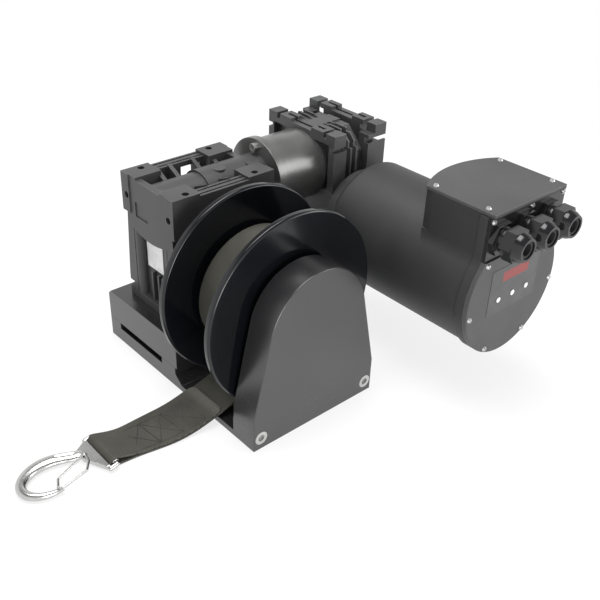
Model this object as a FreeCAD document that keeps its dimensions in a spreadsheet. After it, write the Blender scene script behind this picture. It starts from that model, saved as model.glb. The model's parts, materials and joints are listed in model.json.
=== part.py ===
import FreeCAD, Part
import math
import operator
import os
from types import SimpleNamespace

import Sketcher
from FreeCAD import Placement, Rotation, Vector

# Electric strap winch: a webbing drum between a worm gearbox and an arch on a base plate,
# driven through a second, smaller worm gearbox by a motor with a control box.
# Millimetres. X runs along the drum towards the arch, Y to the back, Z up.
# The origin is the middle of the base's underside.

SIZES = {
    # gaps that several pieces share
    "overrun": 1,
    "fit_gap": 0.05,
    "clear_gap": 0.4,
    # base plate
    "base_half_length": 115,
    "base_depth": 140,
    "base_height": 21.3,
    "channel_floor": 6,
    "block_length": 113,
    "slope_run": 10,
    "slope_drop": 8,
    "upstand_thickness": 16.3,
    "lip_thickness": 12.7,
    "slot_inset": 18,
    "slot_length": 73,
    "slot_height": 6.8,
    "slot_depth": 14,
    "mount_spacing_x": 190,
    "mount_spacing_y": 100,
    "mount_hole_radius": 3.4,
    "mount_hole_depth": 14,
    # large cap screws
    "bolt_radius": 4,
    "bolt_head_radius": 6.5,
    "bolt_head_height": 8,
    "bolt_socket_flats": 6,
    "bolt_socket_depth": 4,
    "bolt_grip": 13,
    "bolt_hole_gap": 0.3,
    # riser block under the large gearbox
    "riser_length": 116,
    "riser_chamfer": 4,
    "riser_bolt_inset": 10,
    "riser_bolt_edge": 12,
    "riser_bolt_y": 30,
    # arch
    "arch_thickness": 28,
    "arch_radius": 53.3,
    "arch_side_height": 34,
    "arch_edge_round": 0.8,
    "arch_screw_edge": 8,
    "arch_screw_height": 11.6,
    "outboard_bearing_radius": 26,
    "outboard_bearing_width": 15,
    "outboard_relief": 5,
    # drum
    "drum_axis_height": 100.25,
    "gearbox_axis_height": 47.75,
    "flange_radius": 91,
    "flange_thickness": 7,
    "flange_left_inner": 17.7,
    "flange_spacing": 57.4,
    "flange_step": 1,
    "flange_step_radius": 68,
    "flange_cone_radius": 82,
    "flange_dish": 2,
    "flange_dish_radius": 64,
    "rim_chamfer": 1.5,
    "hub_radius": 34,
    "shaft_radius": 12.5,
    "shaft_left_reach": 33,
    "key_width": 8,
    "key_height": 7,
    "key_depth": 4,
    "wheel_key_length": 24,
    "drum_key_length": 30,
    "drum_screw_circle": 24,
    "drum_screw_radius": 3,
    "drum_screw_head_radius": 5,
    "drum_screw_head_height": 4,
    "drum_screw_length": 16,
    # strap
    "strap_width": 45,
    "strap_thickness": 2,
    "fold_width": 37.5,
    "pack_core_radius": 52.5,
    "wrap_pitch": 2.5,
    # large worm gearbox
    "gearbox_offset": 54.5,
    "gearbox_half_width": 41.3,
    "gearbox_half_length": 54.8,
    "gearbox_height": 129.9,
    "case_half_width": 36,
    "case_radius": 47.5,
    "block_half_width": 30,
    "block_half_length": 47.6,
    "block_top": 100,
    "column_width": 13.5,
    "column_depth": 16,
    "foot_height": 8,
    "wall_thickness": 6.8,
    "end_wall_height": 52,
    "end_wall_radius": 75,
    "rail_width": 13,
    "rail_height": 22,
    "rail_drop": 2.5,
    "rail_groove_width": 2.2,
    "rail_groove_depth": 1.6,
    "rail_groove_offset": 3,
    "cheek_width": 12,
    "cheek_step": 1.2,
    "cheek_height": 38,
    "pillar_radius": 6,
    "pillar_x": 25,
    "side_window_near": 0.5,
    "side_window_far": 22,
    "side_window_low": 30.4,
    "side_window_high": 7.4,
    "foot_notch_low": 10,
    "foot_notch_height": 6,
    "foot_notch_depth": 7,
    "column_relief": 5,
    "relief_rise": 23.5,
    "case_fin_low": 7.5,
    "case_fin_height": 31,
    "case_fin_depth": 4.4,
    "case_fin_thickness": 2.4,
    "plug_radius": 6,
    "plug_x": 5,
    "plug_y": 20,
    "pad_width": 22,
    "pad_length": 28,
    "pad_height": 16,
    "rib_thickness": 4,
    "rib_height": 26,
    "rib_drop": 0.8,
    "rib_length": 15,
    "rib_fall": 7,
    "pad_hole_radius": 3.4,
    "pad_hole_depth": 12,
    "pad_hole_x": 35,
    "pad_hole_y": 38,
    "face_hole_x": 33.5,
    "face_hole_drop": 21,
    "plaque_width": 20,
    "plaque_height": 15,
    "plaque_depth": 1,
    "plaque_drop": 24,
    "plaque_offset": 12,
    "foot_bolt_x": 34,
    "foot_bolt_y": 44,
    "worm_centre_distance": 56.75,
    "worm_tube_wall": 1.6,
    "worm_boss_radius": 24,
    "worm_boss_length": 13.2,
    "worm_pitch_radius": 16.75,
    "worm_thread_length": 56,
    "worm_shaft_radius": 10,
    "worm_neck_radius": 9,
    "worm_bearing_radius": 20,
    "worm_bearing_start": 33,
    "worm_bearing_width": 12,
    "worm_seal_width": 7,
    "wheel_width": 20,
    "wheel_cavity_gap": 2,
    "wheel_hub_radius": 22,
    "wheel_bearing_start": 18,
    "wheel_bearing_width": 12,
    "wheel_bearing_radius": 31,
    "cover_flange_thickness": 6,
    "cover_left_radius": 46,
    "cover_right_radius": 42,
    "cover_spigot_inner": 25,
    "cover_dome_radius": 35,
    "cover_dome_height": 10,
    "cover_hollow": 4,
    "seal_radius": 18,
    "seal_width": 7,
    "cover_screw_radius": 3,
    "cover_screw_head_radius": 5,
    "cover_screw_head_height": 5,
    "cover_screw_length": 16,
    "cover_screw_inset": 5.5,
    "label_width": 26,
    "label_height": 28,
    "label_thickness": 0.5,
    "label_offset": 4.5,
    "label_bottom": 92,
    # coupling housing
    "coupling_flange_radius": 38.5,
    "coupling_flange_thickness": 8,
    "coupling_radius": 35.2,
    "coupling_bore": 26,
    "coupling_screw_circle": 31,
    "coupling_screw_radius": 2.5,
    "coupling_screw_head_radius": 4.25,
    "coupling_screw_head_height": 5,
    "coupling_screw_length": 18,
    "jaw_radius": 20,
    # small worm gearbox
    "motor_depth": 160,
    "small_centre_distance": 45.7,
    "small_half_width": 49,
    "small_thickness": 70.5,
    "small_plate_thickness": 15,
    "small_top_rise": 42,
    "small_bottom_drop": 36,
    "small_core_half_width": 41,
    "core_corner": 20,
    "core_foot_corner": 8,
    "small_core_inset": 5,
    "small_core_wall": 3,
    "fin_thickness": 2,
    "fin_start": 2.3,
    "fin_pitch": 7.5,
    "fin_half_width": 47.5,
    "fin_inset": 2.5,
    "fin_corner": 14,
    "top_block_half_width": 8,
    "notch_depth": 6,
    "notch_width": 5,
    "notch_inset": 12.5,
    "post_width": 14,
    "post_depth": 9,
    "post_drop": 9,
    "recess_half_length": 15,
    "recess_depth": 3.5,
    "groove_half_length": 27,
    "groove_depth": 5.5,
    "groove_width": 3.5,
    "pocket_skin": 3,
    "pocket_width": 21,
    "pocket_height": 16.6,
    "pocket_inset": 2,
    "window_side": 9,
    "window_rise": 6.1,
    "window_top": 5.4,
    "window_inset": 13,
    "front_recess_half_width": 41,
    "front_recess_depth": 7,
    "front_recess_rise": 17,
    "front_recess_drop": 10.5,
    "coupling_boss_radius": 36.6,
    "corner_hole_radius": 3.2,
    "corner_hole_inset": 10,
    "corner_hole_rise": 8,
    "corner_hole_drop": 30,
    "small_worm_pitch_radius": 13.7,
    "small_thread_length": 46,
    "small_worm_shaft_radius": 7.5,
    "small_wheel_width": 11,
    "small_wheel_hub_radius": 15,
    "small_wheel_hub_length": 25,
    "small_bearing_radius": 20,
    "small_bearing_width": 10,
    "small_bearing_inset": 4,
    "small_worm_bearing_radius": 17,
    "small_worm_bearing_start": 28,
    "small_worm_bearing_width": 10,
    "small_cap_radius": 28,
    "small_cap_thickness": 5,
    "output_shaft_radius": 9,
    "cap_screw_circle": 24,
    "cap_screw_radius": 2,
    "cap_screw_head_radius": 3.5,
    "cap_screw_head_height": 4,
    "cap_screw_length": 12,
    # motor
    "motor_gap": 17.5,
    "adapter_radius": 45,
    "adapter_bore": 20,
    "adapter_bolt_circle": 36,
    "adapter_bolt_radius": 3,
    "adapter_bolt_head_radius": 5,
    "adapter_bolt_head_height": 6,
    "adapter_bolt_length": 22,
    "motor_radius": 60,
    "motor_wall": 4,
    "motor_back_round": 7,
    "motor_length": 173,
    "motor_plate_radius": 50,
    "motor_front_plate": 10,
    "motor_rear_plate": 8,
    "spigot_radius": 30,
    "stator_length": 100,
    "stator_inner": 42,
    "magnet_inner": 31,
    "magnet_overhang": 2,
    "magnet_gap": 8,
    "armature_radius": 30,
    "armature_start": 16,
    "commutator_radius": 15,
    "commutator_length": 12,
    "commutator_gap": 6,
    "rotor_shaft_radius": 8,
    "motor_bearing_radius": 17.5,
    "motor_bearing_width": 7,
    "sleeve_radius": 13,
    "sleeve_length": 20,
    "joint_face": 2,
    "brush_width": 8,
    "brush_length": 14,
    "brush_reach": 14,
    "brush_ring_thickness": 4,
    "rim_length": 7,
    # control box on the motor
    "box_front": 45,
    "box_back": 55,
    "box_top_rise": 82.9,
    "box_length": 67,
    "box_bulge": 15,
    "box_blend": 20,
    "box_wall": 4,
    "box_roof": 8,
    "gasket_thickness": 1,
    "lid_thickness": 3,
    "lid_opening_inset": 11,
    "lid_screw_inset": 5.6,
    "trim_screw_radius": 1.75,
    "trim_screw_head_radius": 2.6,
    "trim_screw_head_height": 1.6,
    "trim_screw_length": 10,
    "cover_lap": 2,
    "cover_thickness": 5,
    "cover_round": 1,
    "cover_screw_edge": 3.6,
    "cover_top_screw_drop": 3,
    "cover_split_rise": 43,
    "gland_step": 1.5,
    "panel_screw_left": 11,
    "panel_screw_left_rise": 35.4,
    "panel_screw_right": 38,
    "panel_screw_right_rise": 29,
    # display
    "panel_left": 34,
    "panel_right": 34,
    "panel_bottom": 16,
    "panel_height": 46,
    "panel_thickness": 0.3,
    "lens_radius": 2.6,
    "lens_thickness": 0.8,
    "lens_pitch": 20,
    "lens_drop": 2,
    "board_half_width": 34,
    "board_below": 30,
    "board_above": 28,
    "board_thickness": 1.6,
    "standoff_length": 16,
    "standoff_radius": 3,
    "standoff_inset": 5,
    # cable glands
    "gland_pitch": 33,
    "gland_rise": 63.2,
    "gland_bore": 7,
    "gland_thread_radius": 10,
    "gland_nut_thickness": 5,
    "gland_flats": 27,
    "gland_neck_radius": 11,
    "gland_neck_length": 5.5,
    "dome_flats": 26.5,
    "dome_hex_length": 11,
    "dome_radius": 13.2,
    "dome_end_radius": 10.2,
    "dome_length": 8,
    "dome_mouth": 8,
    # hook
    "hook_centre": 37,
    "eye_half_width": 21.4,
    "eye_side_length": 6.5,
    "eye_side_radius": 2.2,
    "eye_bar_radius": 3,
    "eye_y": 169,
    "eye_height": 5.6,
    "ring_height": 4.1,
    "ring_bar_radius": 3.9,
    "ring_bar_width": 6.1,
    "neck_thickness": 4.6,
    "neck_half_width": 6,
    "neck_shift": 7.5,
    "plate_start": 5.6,
    "plate_edge": 2.6,
    "plate_end": 18.5,
    "plate_half_width": 19.6,
    "ring_half_width": 18,
    "ring_reach": 73,
    "slot_radius": 3,
    "slot_lift": 2.2,
    "gate_wire_radius": 1.1,
    "gate_pin_radius": 1.6,
    "gate_pin_x": -4,
    "gate_pin_y": 15.5,
    "gate_lift": 1.4,
}

# counts and shares of other sizes
WHEEL_TEETH = 20
WORM_STARTS = 1
SMALL_WORM_STARTS = 2
ADDENDUM_SHARE = 0.8
DEDENDUM_SHARE = 1.0
THREAD_HALF_SHARE = 0.745
FLANK_SHARE = math.tan(math.radians(20))
TOOTH_HALF_SHARES = ((-1.0, 0.775), (0.0, 0.71), (0.8, 0.375))
ROOT_SINK_SHARE = 0.1
RIB_SHARES = (-0.48, -0.22, 0.24, 0.6)
COVER_SCREW_ANGLES = (-8, -62, -118, -172)
ADAPTER_BOLT_ANGLES = (36, 144, 216, 324)
JAW_SHARE = 0.6
FIN_COUNT = 3
CASE_FIN_SHARES = (-0.18, 0.15, 0.38)
WRAP_HALF_TURNS = 4
# the hook's forged ring from its neck to its nose: shares of the ring's half width and reach,
# then of the bar's half width and half height
RING_SHARES = (
    (-0.417, 0.178, 0.72, 0.56),
    (-0.533, 0.26, 0.82, 0.7),
    (-0.678, 0.356, 0.92, 0.86),
    (-0.906, 0.5, 0.98, 0.95),
    (-0.994, 0.651, 1, 1),
    (-0.889, 0.801, 0.92, 1),
    (-0.6, 0.926, 0.82, 1),
    (-0.167, 1, 0.72, 1),
    (0.311, 0.995, 0.64, 0.95),
    (0.667, 0.927, 0.56, 0.85),
    (0.878, 0.829, 0.48, 0.73),
    (0.956, 0.726, 0.4, 0.6),
    (0.956, 0.637, 0.32, 0.47),
)
# the sunk groove on the ring's long arm: shares of half width, reach and half height
SLOT_SHARES = (
    (-0.58, 0.31, 0.8),
    (-0.9, 0.49, 0.94),
)
# the gate's wire on the hook: shares of the ring's half width and reach
GATE_WIRE_SHARES = (
    (-0.222, 0.212),
    (0.494, 0.64),
    (0.961, 0.699),
    (1.111, 0.651),
    (0.806, 0.329),
    (0.333, 0.24),
)
FOLD_START = 3
FOLD_STEPS = 12

# route of the strap's free end, chosen by hand: X, Y, Z of its middle line in millimetres
TAIL_ROUTE = (
    (45.6, 21.68, 42.86),
    (45.4, -4, 33.1),
    (45, -36, 21.9),
    (44.4, -66, 12),
    (43.4, -84, 6.2),
    (42.4, -99, 2.6),
    (41, -116, 1.2),
    (39.6, -134, 1.2),
    (38.4, -150, 1.2),
)

DRAWING = FreeCAD.newDocument("strap_winch")
SHEET = DRAWING.addObject("Spreadsheet::Sheet", "Dims")
NODES = {}
WORKING = {
    "+": operator.add,
    "-": operator.sub,
    "*": operator.mul,
    "/": operator.truediv,
}


class Size:
    """A length of the part: its value, and the expression on the sheet that gives it."""

    def __init__(self, value, text):
        self.value = float(value)
        self.text = text

    def __add__(self, other):
        return joined(self, "+", other)

    def __radd__(self, other):
        return joined(other, "+", self)

    def __sub__(self, other):
        return joined(self, "-", other)

    def __rsub__(self, other):
        return joined(other, "-", self)

    def __mul__(self, other):
        return joined(self, "*", other)

    def __rmul__(self, other):
        return joined(other, "*", self)

    def __truediv__(self, other):
        return joined(self, "/", other)

    def __neg__(self):
        return joined(0, "-", self)


def as_size(thing):
    return thing if isinstance(thing, Size) else Size(thing, repr(thing))


def joined(left, sign, right):
    left, right = as_size(left), as_size(right)
    return Size(WORKING[sign](left.value, right.value), f"({left.text} {sign} {right.text})")


def root_of(size):
    return Size(math.sqrt(size.value), f"sqrt({size.text})")


def fill_sheet():
    for row, (name, value) in enumerate(SIZES.items(), 1):
        SHEET.set(f"A{row}", name)
        SHEET.set(f"B{row}", str(value))
        SHEET.setAlias(f"B{row}", name)
    DRAWING.recompute()
    return SimpleNamespace(**{name: Size(getattr(SHEET, name), f"Dims.{name}") for name in SIZES})


S = fill_sheet()

# turns that bring a shape's own Z to the named direction
TURNS = {
    "Z": Rotation(),
    "-Z": Rotation(Vector(1, 0, 0), 180),
    "X": Rotation(Vector(0, 1, 0), 90),
    "-X": Rotation(Vector(0, 1, 0), -90),
    "Y": Rotation(Vector(1, 0, 0), -90),
    "-Y": Rotation(Vector(1, 0, 0), 90),
}
# turns that bring a turned piece's own X to the named direction
LATHE_TURNS = {"X": Rotation(), "Y": Rotation(Vector(0, 0, 1), 90)}

# places that several pieces share
BASE_LEFT = -S.base_half_length
BASE_RIGHT = S.base_half_length - S.lip_thickness
BLOCK_RIGHT = BASE_LEFT + S.block_length
UPSTAND_LEFT = BASE_RIGHT - S.upstand_thickness
FRONT = -S.base_depth / 2
BACK = S.base_depth / 2
ARCH_OUTER = S.base_half_length
ARCH_INNER = ARCH_OUTER - S.arch_thickness
ARCH_SCREW_Y = BACK - S.arch_screw_edge
DRUM_Z = S.drum_axis_height
RISER_TOP = DRUM_Z - S.gearbox_axis_height
RISER_HEIGHT = RISER_TOP - S.base_height
FLANGE_LEFT = S.flange_left_inner
FLANGE_RIGHT = FLANGE_LEFT + S.flange_spacing
HUB_LEFT = FLANGE_LEFT + S.flange_step
HUB_RIGHT = FLANGE_RIGHT - S.flange_step
DRUM_X = (FLANGE_LEFT + FLANGE_RIGHT) / 2
SHAFT_RIGHT = ARCH_INNER + S.outboard_bearing_width + S.outboard_relief / 2
GEAR_X = -S.gearbox_offset
GEAR_TOP = RISER_TOP + S.gearbox_height
WORM_Z = DRUM_Z + S.worm_centre_distance
WHEEL_PITCH = S.worm_centre_distance - S.worm_pitch_radius
MODULE = WHEEL_PITCH * 2 / WHEEL_TEETH
WORM_TIP = S.worm_pitch_radius + MODULE * ADDENDUM_SHARE
WORM_ROOT = S.worm_pitch_radius - MODULE * DEDENDUM_SHARE
WORM_CAVITY = WORM_TIP + S.clear_gap
BOSS_END = S.gearbox_half_length + S.worm_boss_length
MOTOR_Y = S.motor_depth
MOTOR_Z = WORM_Z - S.small_centre_distance
SMALL_FRONT = MOTOR_Y - S.small_thickness / 2
SMALL_BACK = MOTOR_Y + S.small_thickness / 2
COUPLING_START = BOSS_END + S.coupling_flange_thickness
COUPLING_MIDDLE = (COUPLING_START + SMALL_FRONT) / 2
SMALL_TOP = WORM_Z + S.small_top_rise
SMALL_BOTTOM = MOTOR_Z - S.small_bottom_drop
SMALL_RIGHT = GEAR_X + S.small_half_width
SMALL_WHEEL_PITCH = S.small_centre_distance - S.small_worm_pitch_radius
SMALL_MODULE = SMALL_WHEEL_PITCH * 2 / WHEEL_TEETH
SMALL_WORM_ROOT = S.small_worm_pitch_radius - SMALL_MODULE * DEDENDUM_SHARE
HOUSING_BACK = SMALL_RIGHT + S.motor_gap
HOUSING_FRONT = HOUSING_BACK + S.motor_length
COVER_BACK = HOUSING_FRONT + S.gasket_thickness
COVER_FACE = COVER_BACK + S.cover_thickness
GLAND_FACE = COVER_FACE - S.gland_step
COVER_SPLIT = MOTOR_Z + S.cover_split_rise
BOX_TOP = MOTOR_Z + S.box_top_rise
LID_TOP = BOX_TOP + S.gasket_thickness + S.lid_thickness
PLATE_FRONT = HOUSING_BACK + S.motor_wall
STATOR_START = PLATE_FRONT + S.motor_front_plate
STATOR_END = STATOR_START + S.stator_length
GLAND_Z = MOTOR_Z + S.gland_rise
DOME_START = GLAND_FACE + S.gland_nut_thickness + S.gland_neck_length


def bind(thing, sizes):
    for name, size in sizes.items():
        thing.setExpression(name, as_size(size).text)


def put(thing, place, turn):
    sizes = [as_size(size) for size in place]
    thing.Placement = Placement(Vector(*[size.value for size in sizes]), turn)
    bind(thing, {f"Placement.Base.{axis}": size for axis, size in zip("xyz", sizes)})
    return thing


def box(name, low, high):
    thing = DRAWING.addObject("Part::Box", name)
    spans = [top - bottom for bottom, top in zip(map(as_size, low), map(as_size, high))]
    bind(thing, dict(zip(("Length", "Width", "Height"), spans)))
    return put(thing, low, TURNS["Z"])


def rod(name, radius, start, length, axis):
    thing = DRAWING.addObject("Part::Cylinder", name)
    bind(thing, {"Radius": radius, "Height": length})
    return put(thing, start, TURNS[axis])


def taper(name, radii, start, length, axis):
    thing = DRAWING.addObject("Part::Cone", name)
    bind(thing, {"Radius1": radii[0], "Radius2": radii[1], "Height": length})
    return put(thing, start, TURNS[axis])


def hexagon(name, flats, start, length, axis):
    """A hexagonal bar. On the X axis, two of its flats are level."""
    thing = DRAWING.addObject("Part::Prism", name)
    thing.Polygon = 6
    bind(thing, {"Circumradius": flats / math.sqrt(3), "Height": length})
    return put(thing, start, TURNS[axis] * Rotation(Vector(0, 0, 1), 30))


def fuse(name, things, refine=True):
    thing = DRAWING.addObject("Part::MultiFuse", name)
    thing.Shapes = things
    thing.Refine = refine
    return thing


def cut(name, base, tools):
    thing = DRAWING.addObject("Part::Cut", name)
    thing.Base = base
    thing.Tool = tools[0] if len(tools) == 1 else fuse(f"{name}_cuts", tools)
    return thing


def group(name, things):
    thing = DRAWING.addObject("Part::Compound", name)
    thing.Links = things
    return thing


def solid(name, shape):
    thing = DRAWING.addObject("Part::Feature", name)
    thing.Shape = shape
    return thing


def node(name, thing):
    thing.Label = name
    NODES[name] = thing
    return thing


def origin_part(body, role):
    return next(part for part in body.Origin.OriginFeatures if part.Role == role)


def arc_between(start, end, radius, side):
    """The short arc of that radius from start to end, its centre on the named side of the way."""
    chord = end - start
    rise = math.sqrt(max(radius * radius - chord.Length * chord.Length / 4, 0))
    left = Vector(-chord.y, chord.x, 0).normalize()
    centre = (start + end) / 2 + left * (rise if side == "left" else -rise)
    first, last = (start, end) if side == "left" else (end, start)
    angles = [math.atan2(point.y - centre.y, point.x - centre.x) for point in (first, last)]
    return Part.ArcOfCircle(Part.Circle(centre, Vector(0, 0, 1), radius), *angles)


def draw(body, name, plane, corners, offset=0):
    """A closed outline on a body's plane. A corner is (u, v), or (u, v, radius, side) before an arc."""
    sketch = body.newObject("Sketcher::SketchObject", name)
    sketch.AttachmentSupport = [(origin_part(body, plane), "")]
    sketch.MapMode = "FlatFace"
    shift = as_size(offset)
    sketch.AttachmentOffset = Placement(Vector(0, 0, shift.value), Rotation())
    bind(sketch, {"AttachmentOffset.Base.z": shift})
    corners = [tuple(map(as_size, corner[:2])) + tuple(corner[2:]) for corner in corners]
    points = [Vector(corner[0].value, corner[1].value, 0) for corner in corners]
    ends = []
    for index, corner in enumerate(corners):
        start, end = points[index], points[(index + 1) % len(points)]
        if len(corner) == 2:
            sketch.addGeometry(Part.LineSegment(start, end), False)
            ends.append((1, 2))
        else:
            radius, side = as_size(corner[2]), corner[3]
            sketch.addGeometry(arc_between(start, end, radius.value, side), False)
            ends.append((1, 2) if side == "left" else (2, 1))
    for index in range(len(corners)):
        after = (index + 1) % len(corners)
        sketch.addConstraint(
            Sketcher.Constraint("Coincident", index, ends[index][1], after, ends[after][0])
        )
    for index, corner in enumerate(corners):
        for kind, size in zip(("DistanceX", "DistanceY"), corner):
            pin = Sketcher.Constraint(kind, -1, 1, index, ends[index][0], size.value)
            number = sketch.addConstraint(pin)
            bind(sketch, {f"Constraints[{number}]": size})
        if len(corner) > 2:
            radius = as_size(corner[2])
            number = sketch.addConstraint(Sketcher.Constraint("Radius", index, radius.value))
            bind(sketch, {f"Constraints[{number}]": radius})
    return sketch


def extruded(name, plane, corners, length, offset=0, midplane=False):
    body = DRAWING.addObject("PartDesign::Body", name)
    sketch = draw(body, f"{name}_outline", plane, corners, offset)
    pad = body.newObject("PartDesign::Pad", f"{name}_pad")
    pad.Profile = (sketch, [""])
    pad.Midplane = midplane
    bind(pad, {"Length": length})
    return body


def turned(name, outline, centre, axis):
    """A lathe piece: its outline is (place along the axis, radius)."""
    body = DRAWING.addObject("PartDesign::Body", name)
    sketch = draw(body, f"{name}_outline", "XY_Plane", outline)
    spin = body.newObject("PartDesign::Revolution", f"{name}_spin")
    spin.Profile = (sketch, [""])
    spin.ReferenceAxis = (origin_part(body, "X_Axis"), [""])
    spin.Angle = 360
    return put(body, centre, LATHE_TURNS[axis])


def ring(name, inner, outer, start, length, centre, axis):
    end = start + length
    return turned(name, ((start, inner), (end, inner), (end, outer), (start, outer)), centre, axis)


def rounded_face(body, axis, place, radius):
    """Rounds the edges of a body's flat face at that place along the axis."""
    DRAWING.recompute()
    pad = body.Tip
    names = [
        f"Edge{number}"
        for number, edge in enumerate(pad.Shape.Edges, 1)
        if all(abs(getattr(v.Point, axis) - place.value) < S.fit_gap.value for v in edge.Vertexes)
    ]
    fillet = body.newObject("PartDesign::Fillet", f"{body.Name}_round")
    fillet.Base = (pad, names)
    bind(fillet, {"Radius": radius})
    return body


def cap_screw(name, place, axis, radius, head_radius, head_height, length, flats, depth):
    """A socket cap screw. Its head's top is at the place, and it points along the axis."""
    head = rod(f"{name}_head", head_radius, (0, 0, 0), head_height, "Z")
    shank = rod(f"{name}_shank", radius, (0, 0, head_height), length, "Z")
    socket = hexagon(f"{name}_socket", flats, (0, 0, -S.overrun), depth + S.overrun, "Z")
    return put(cut(name, fuse(f"{name}_blank", (head, shank)), (socket,)), place, TURNS[axis])


def large_screw(name, place, axis, length):
    return cap_screw(
        name, place, axis, S.bolt_radius, S.bolt_head_radius, S.bolt_head_height, length,
        S.bolt_socket_flats, S.bolt_socket_depth,
    )


def pan_screw(name, place, axis):
    """A small trim screw with a domed head, which stands on the face at the place."""
    top = S.trim_screw_head_height
    head = taper(
        f"{name}_head",
        (S.trim_screw_head_radius, S.trim_screw_head_radius - top / 2),
        (0, 0, 0), top, "-Z",
    )
    shank = rod(f"{name}_shank", S.trim_screw_radius, (0, 0, 0), S.trim_screw_length, "Z")
    slot = hexagon(f"{name}_slot", S.trim_screw_radius, (0, 0, -top - S.overrun), S.overrun + top / 2, "Z")
    return put(cut(name, fuse(f"{name}_blank", (head, shank)), (slot,)), place, TURNS[axis])


def both_ways(*spans):
    """Each combination of plus and minus of the given spans."""
    found = [()]
    for span in spans:
        found = [signs + (side,) for signs in found for side in (-span, span)]
    return found


def on_circle(radius, angles):
    """Places on a circle, as (across, up), from angles in degrees."""
    turns = [math.radians(angle) for angle in angles]
    return [(radius * math.cos(turn), radius * math.sin(turn)) for turn in turns]


# base plate, riser and arch

def mount_places():
    return both_ways(S.mount_spacing_x / 2, S.mount_spacing_y / 2)


def riser_bolt_places():
    left = BASE_LEFT + S.riser_bolt_inset
    right = BLOCK_RIGHT - S.riser_bolt_edge
    return [(x, y) for x in (left, right) for y in (-S.riser_bolt_y, S.riser_bolt_y)]


def foot_bolt_places():
    return [(GEAR_X + x, y) for x, y in both_ways(S.foot_bolt_x, S.foot_bolt_y)]


def make_base_plate():
    profile = (
        (BASE_LEFT, 0),
        (BASE_RIGHT, 0),
        (BASE_RIGHT, S.base_height),
        (UPSTAND_LEFT, S.base_height),
        (UPSTAND_LEFT, S.channel_floor),
        (BLOCK_RIGHT + S.slope_run, S.channel_floor),
        (BLOCK_RIGHT, S.channel_floor + S.slope_drop),
        (BLOCK_RIGHT, S.base_height),
        (BASE_LEFT, S.base_height),
    )
    blank = extruded("base_blank", "XZ_Plane", profile, S.base_depth, midplane=True)
    slot_left = BASE_LEFT + S.slot_inset
    cuts = [
        box(
            "base_slot",
            (slot_left, FRONT - S.overrun, S.base_height - S.slot_height),
            (slot_left + S.slot_length, FRONT + S.slot_depth, S.base_height + S.overrun),
        )
    ]
    for x, y in mount_places():
        deep = S.mount_hole_depth + S.overrun
        cuts.append(rod("mount_hole", S.mount_hole_radius, (x, y, -S.overrun), deep, "Z"))
    sink = S.bolt_head_height + S.overrun
    for x, y in riser_bolt_places():
        cuts.append(
            rod("riser_sink", S.bolt_head_radius + S.bolt_hole_gap, (x, y, -S.overrun), sink + S.overrun, "Z")
        )
        through = S.base_height + S.overrun * 2
        cuts.append(rod("riser_hole", S.bolt_radius + S.bolt_hole_gap, (x, y, -S.overrun), through, "Z"))
    for side in (-ARCH_SCREW_Y, ARCH_SCREW_Y):
        start = (BASE_RIGHT + S.overrun, side, S.arch_screw_height)
        cuts.append(
            rod("arch_thread", S.bolt_radius + S.fit_gap, start, S.bolt_grip + S.overrun * 2, "-X")
        )
    node("base_plate", cut("base_plate", blank, cuts))


def make_riser_block():
    right = BASE_LEFT + S.riser_length
    profile = (
        (BASE_LEFT, S.base_height),
        (right, S.base_height),
        (right, RISER_TOP),
        (BASE_LEFT + S.riser_chamfer, RISER_TOP),
        (BASE_LEFT, RISER_TOP - S.riser_chamfer),
    )
    blank = extruded("riser_blank", "XZ_Plane", profile, S.base_depth, midplane=True)
    cuts = []
    for x, y in riser_bolt_places():
        start = (x, y, S.base_height - S.overrun)
        deep = S.bolt_grip + S.overrun * 2
        cuts.append(rod("riser_thread", S.bolt_radius + S.fit_gap, start, deep, "Z"))
    for x, y in foot_bolt_places():
        start = (x, y, S.base_height - S.overrun)
        sink = S.bolt_head_height + S.overrun * 2
        cuts.append(rod("foot_sink", S.bolt_head_radius + S.bolt_hole_gap, start, sink, "Z"))
        through = RISER_HEIGHT + S.overrun * 2
        cuts.append(rod("foot_hole", S.bolt_radius + S.bolt_hole_gap, start, through, "Z"))
    node("riser_block", cut("riser_block", blank, cuts))


def make_base_bolts():
    riser_length = S.base_height - S.bolt_head_height - S.overrun + S.bolt_grip
    bolts = [
        large_screw("riser_bolt", (x, y, S.overrun), "Z", riser_length)
        for x, y in riser_bolt_places()
    ]
    node("riser_bolts", group("riser_bolts", bolts))
    foot_length = RISER_HEIGHT - S.bolt_head_height - S.overrun + S.bolt_grip
    bolts = [
        large_screw("foot_bolt", (x, y, S.base_height + S.overrun), "Z", foot_length)
        for x, y in foot_bolt_places()
    ]
    node("gearbox_foot_bolts", group("gearbox_foot_bolts", bolts))


def arch_tangent():
    """Where the arch's straight side meets its round top, from the drum's axis."""
    across, up, radius = BACK, S.arch_side_height - DRUM_Z, S.arch_radius
    reach = across * across + up * up
    along = radius * radius / reach
    beside = radius * root_of(reach - radius * radius) / reach
    return across * along - up * beside, up * along + across * beside


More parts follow.
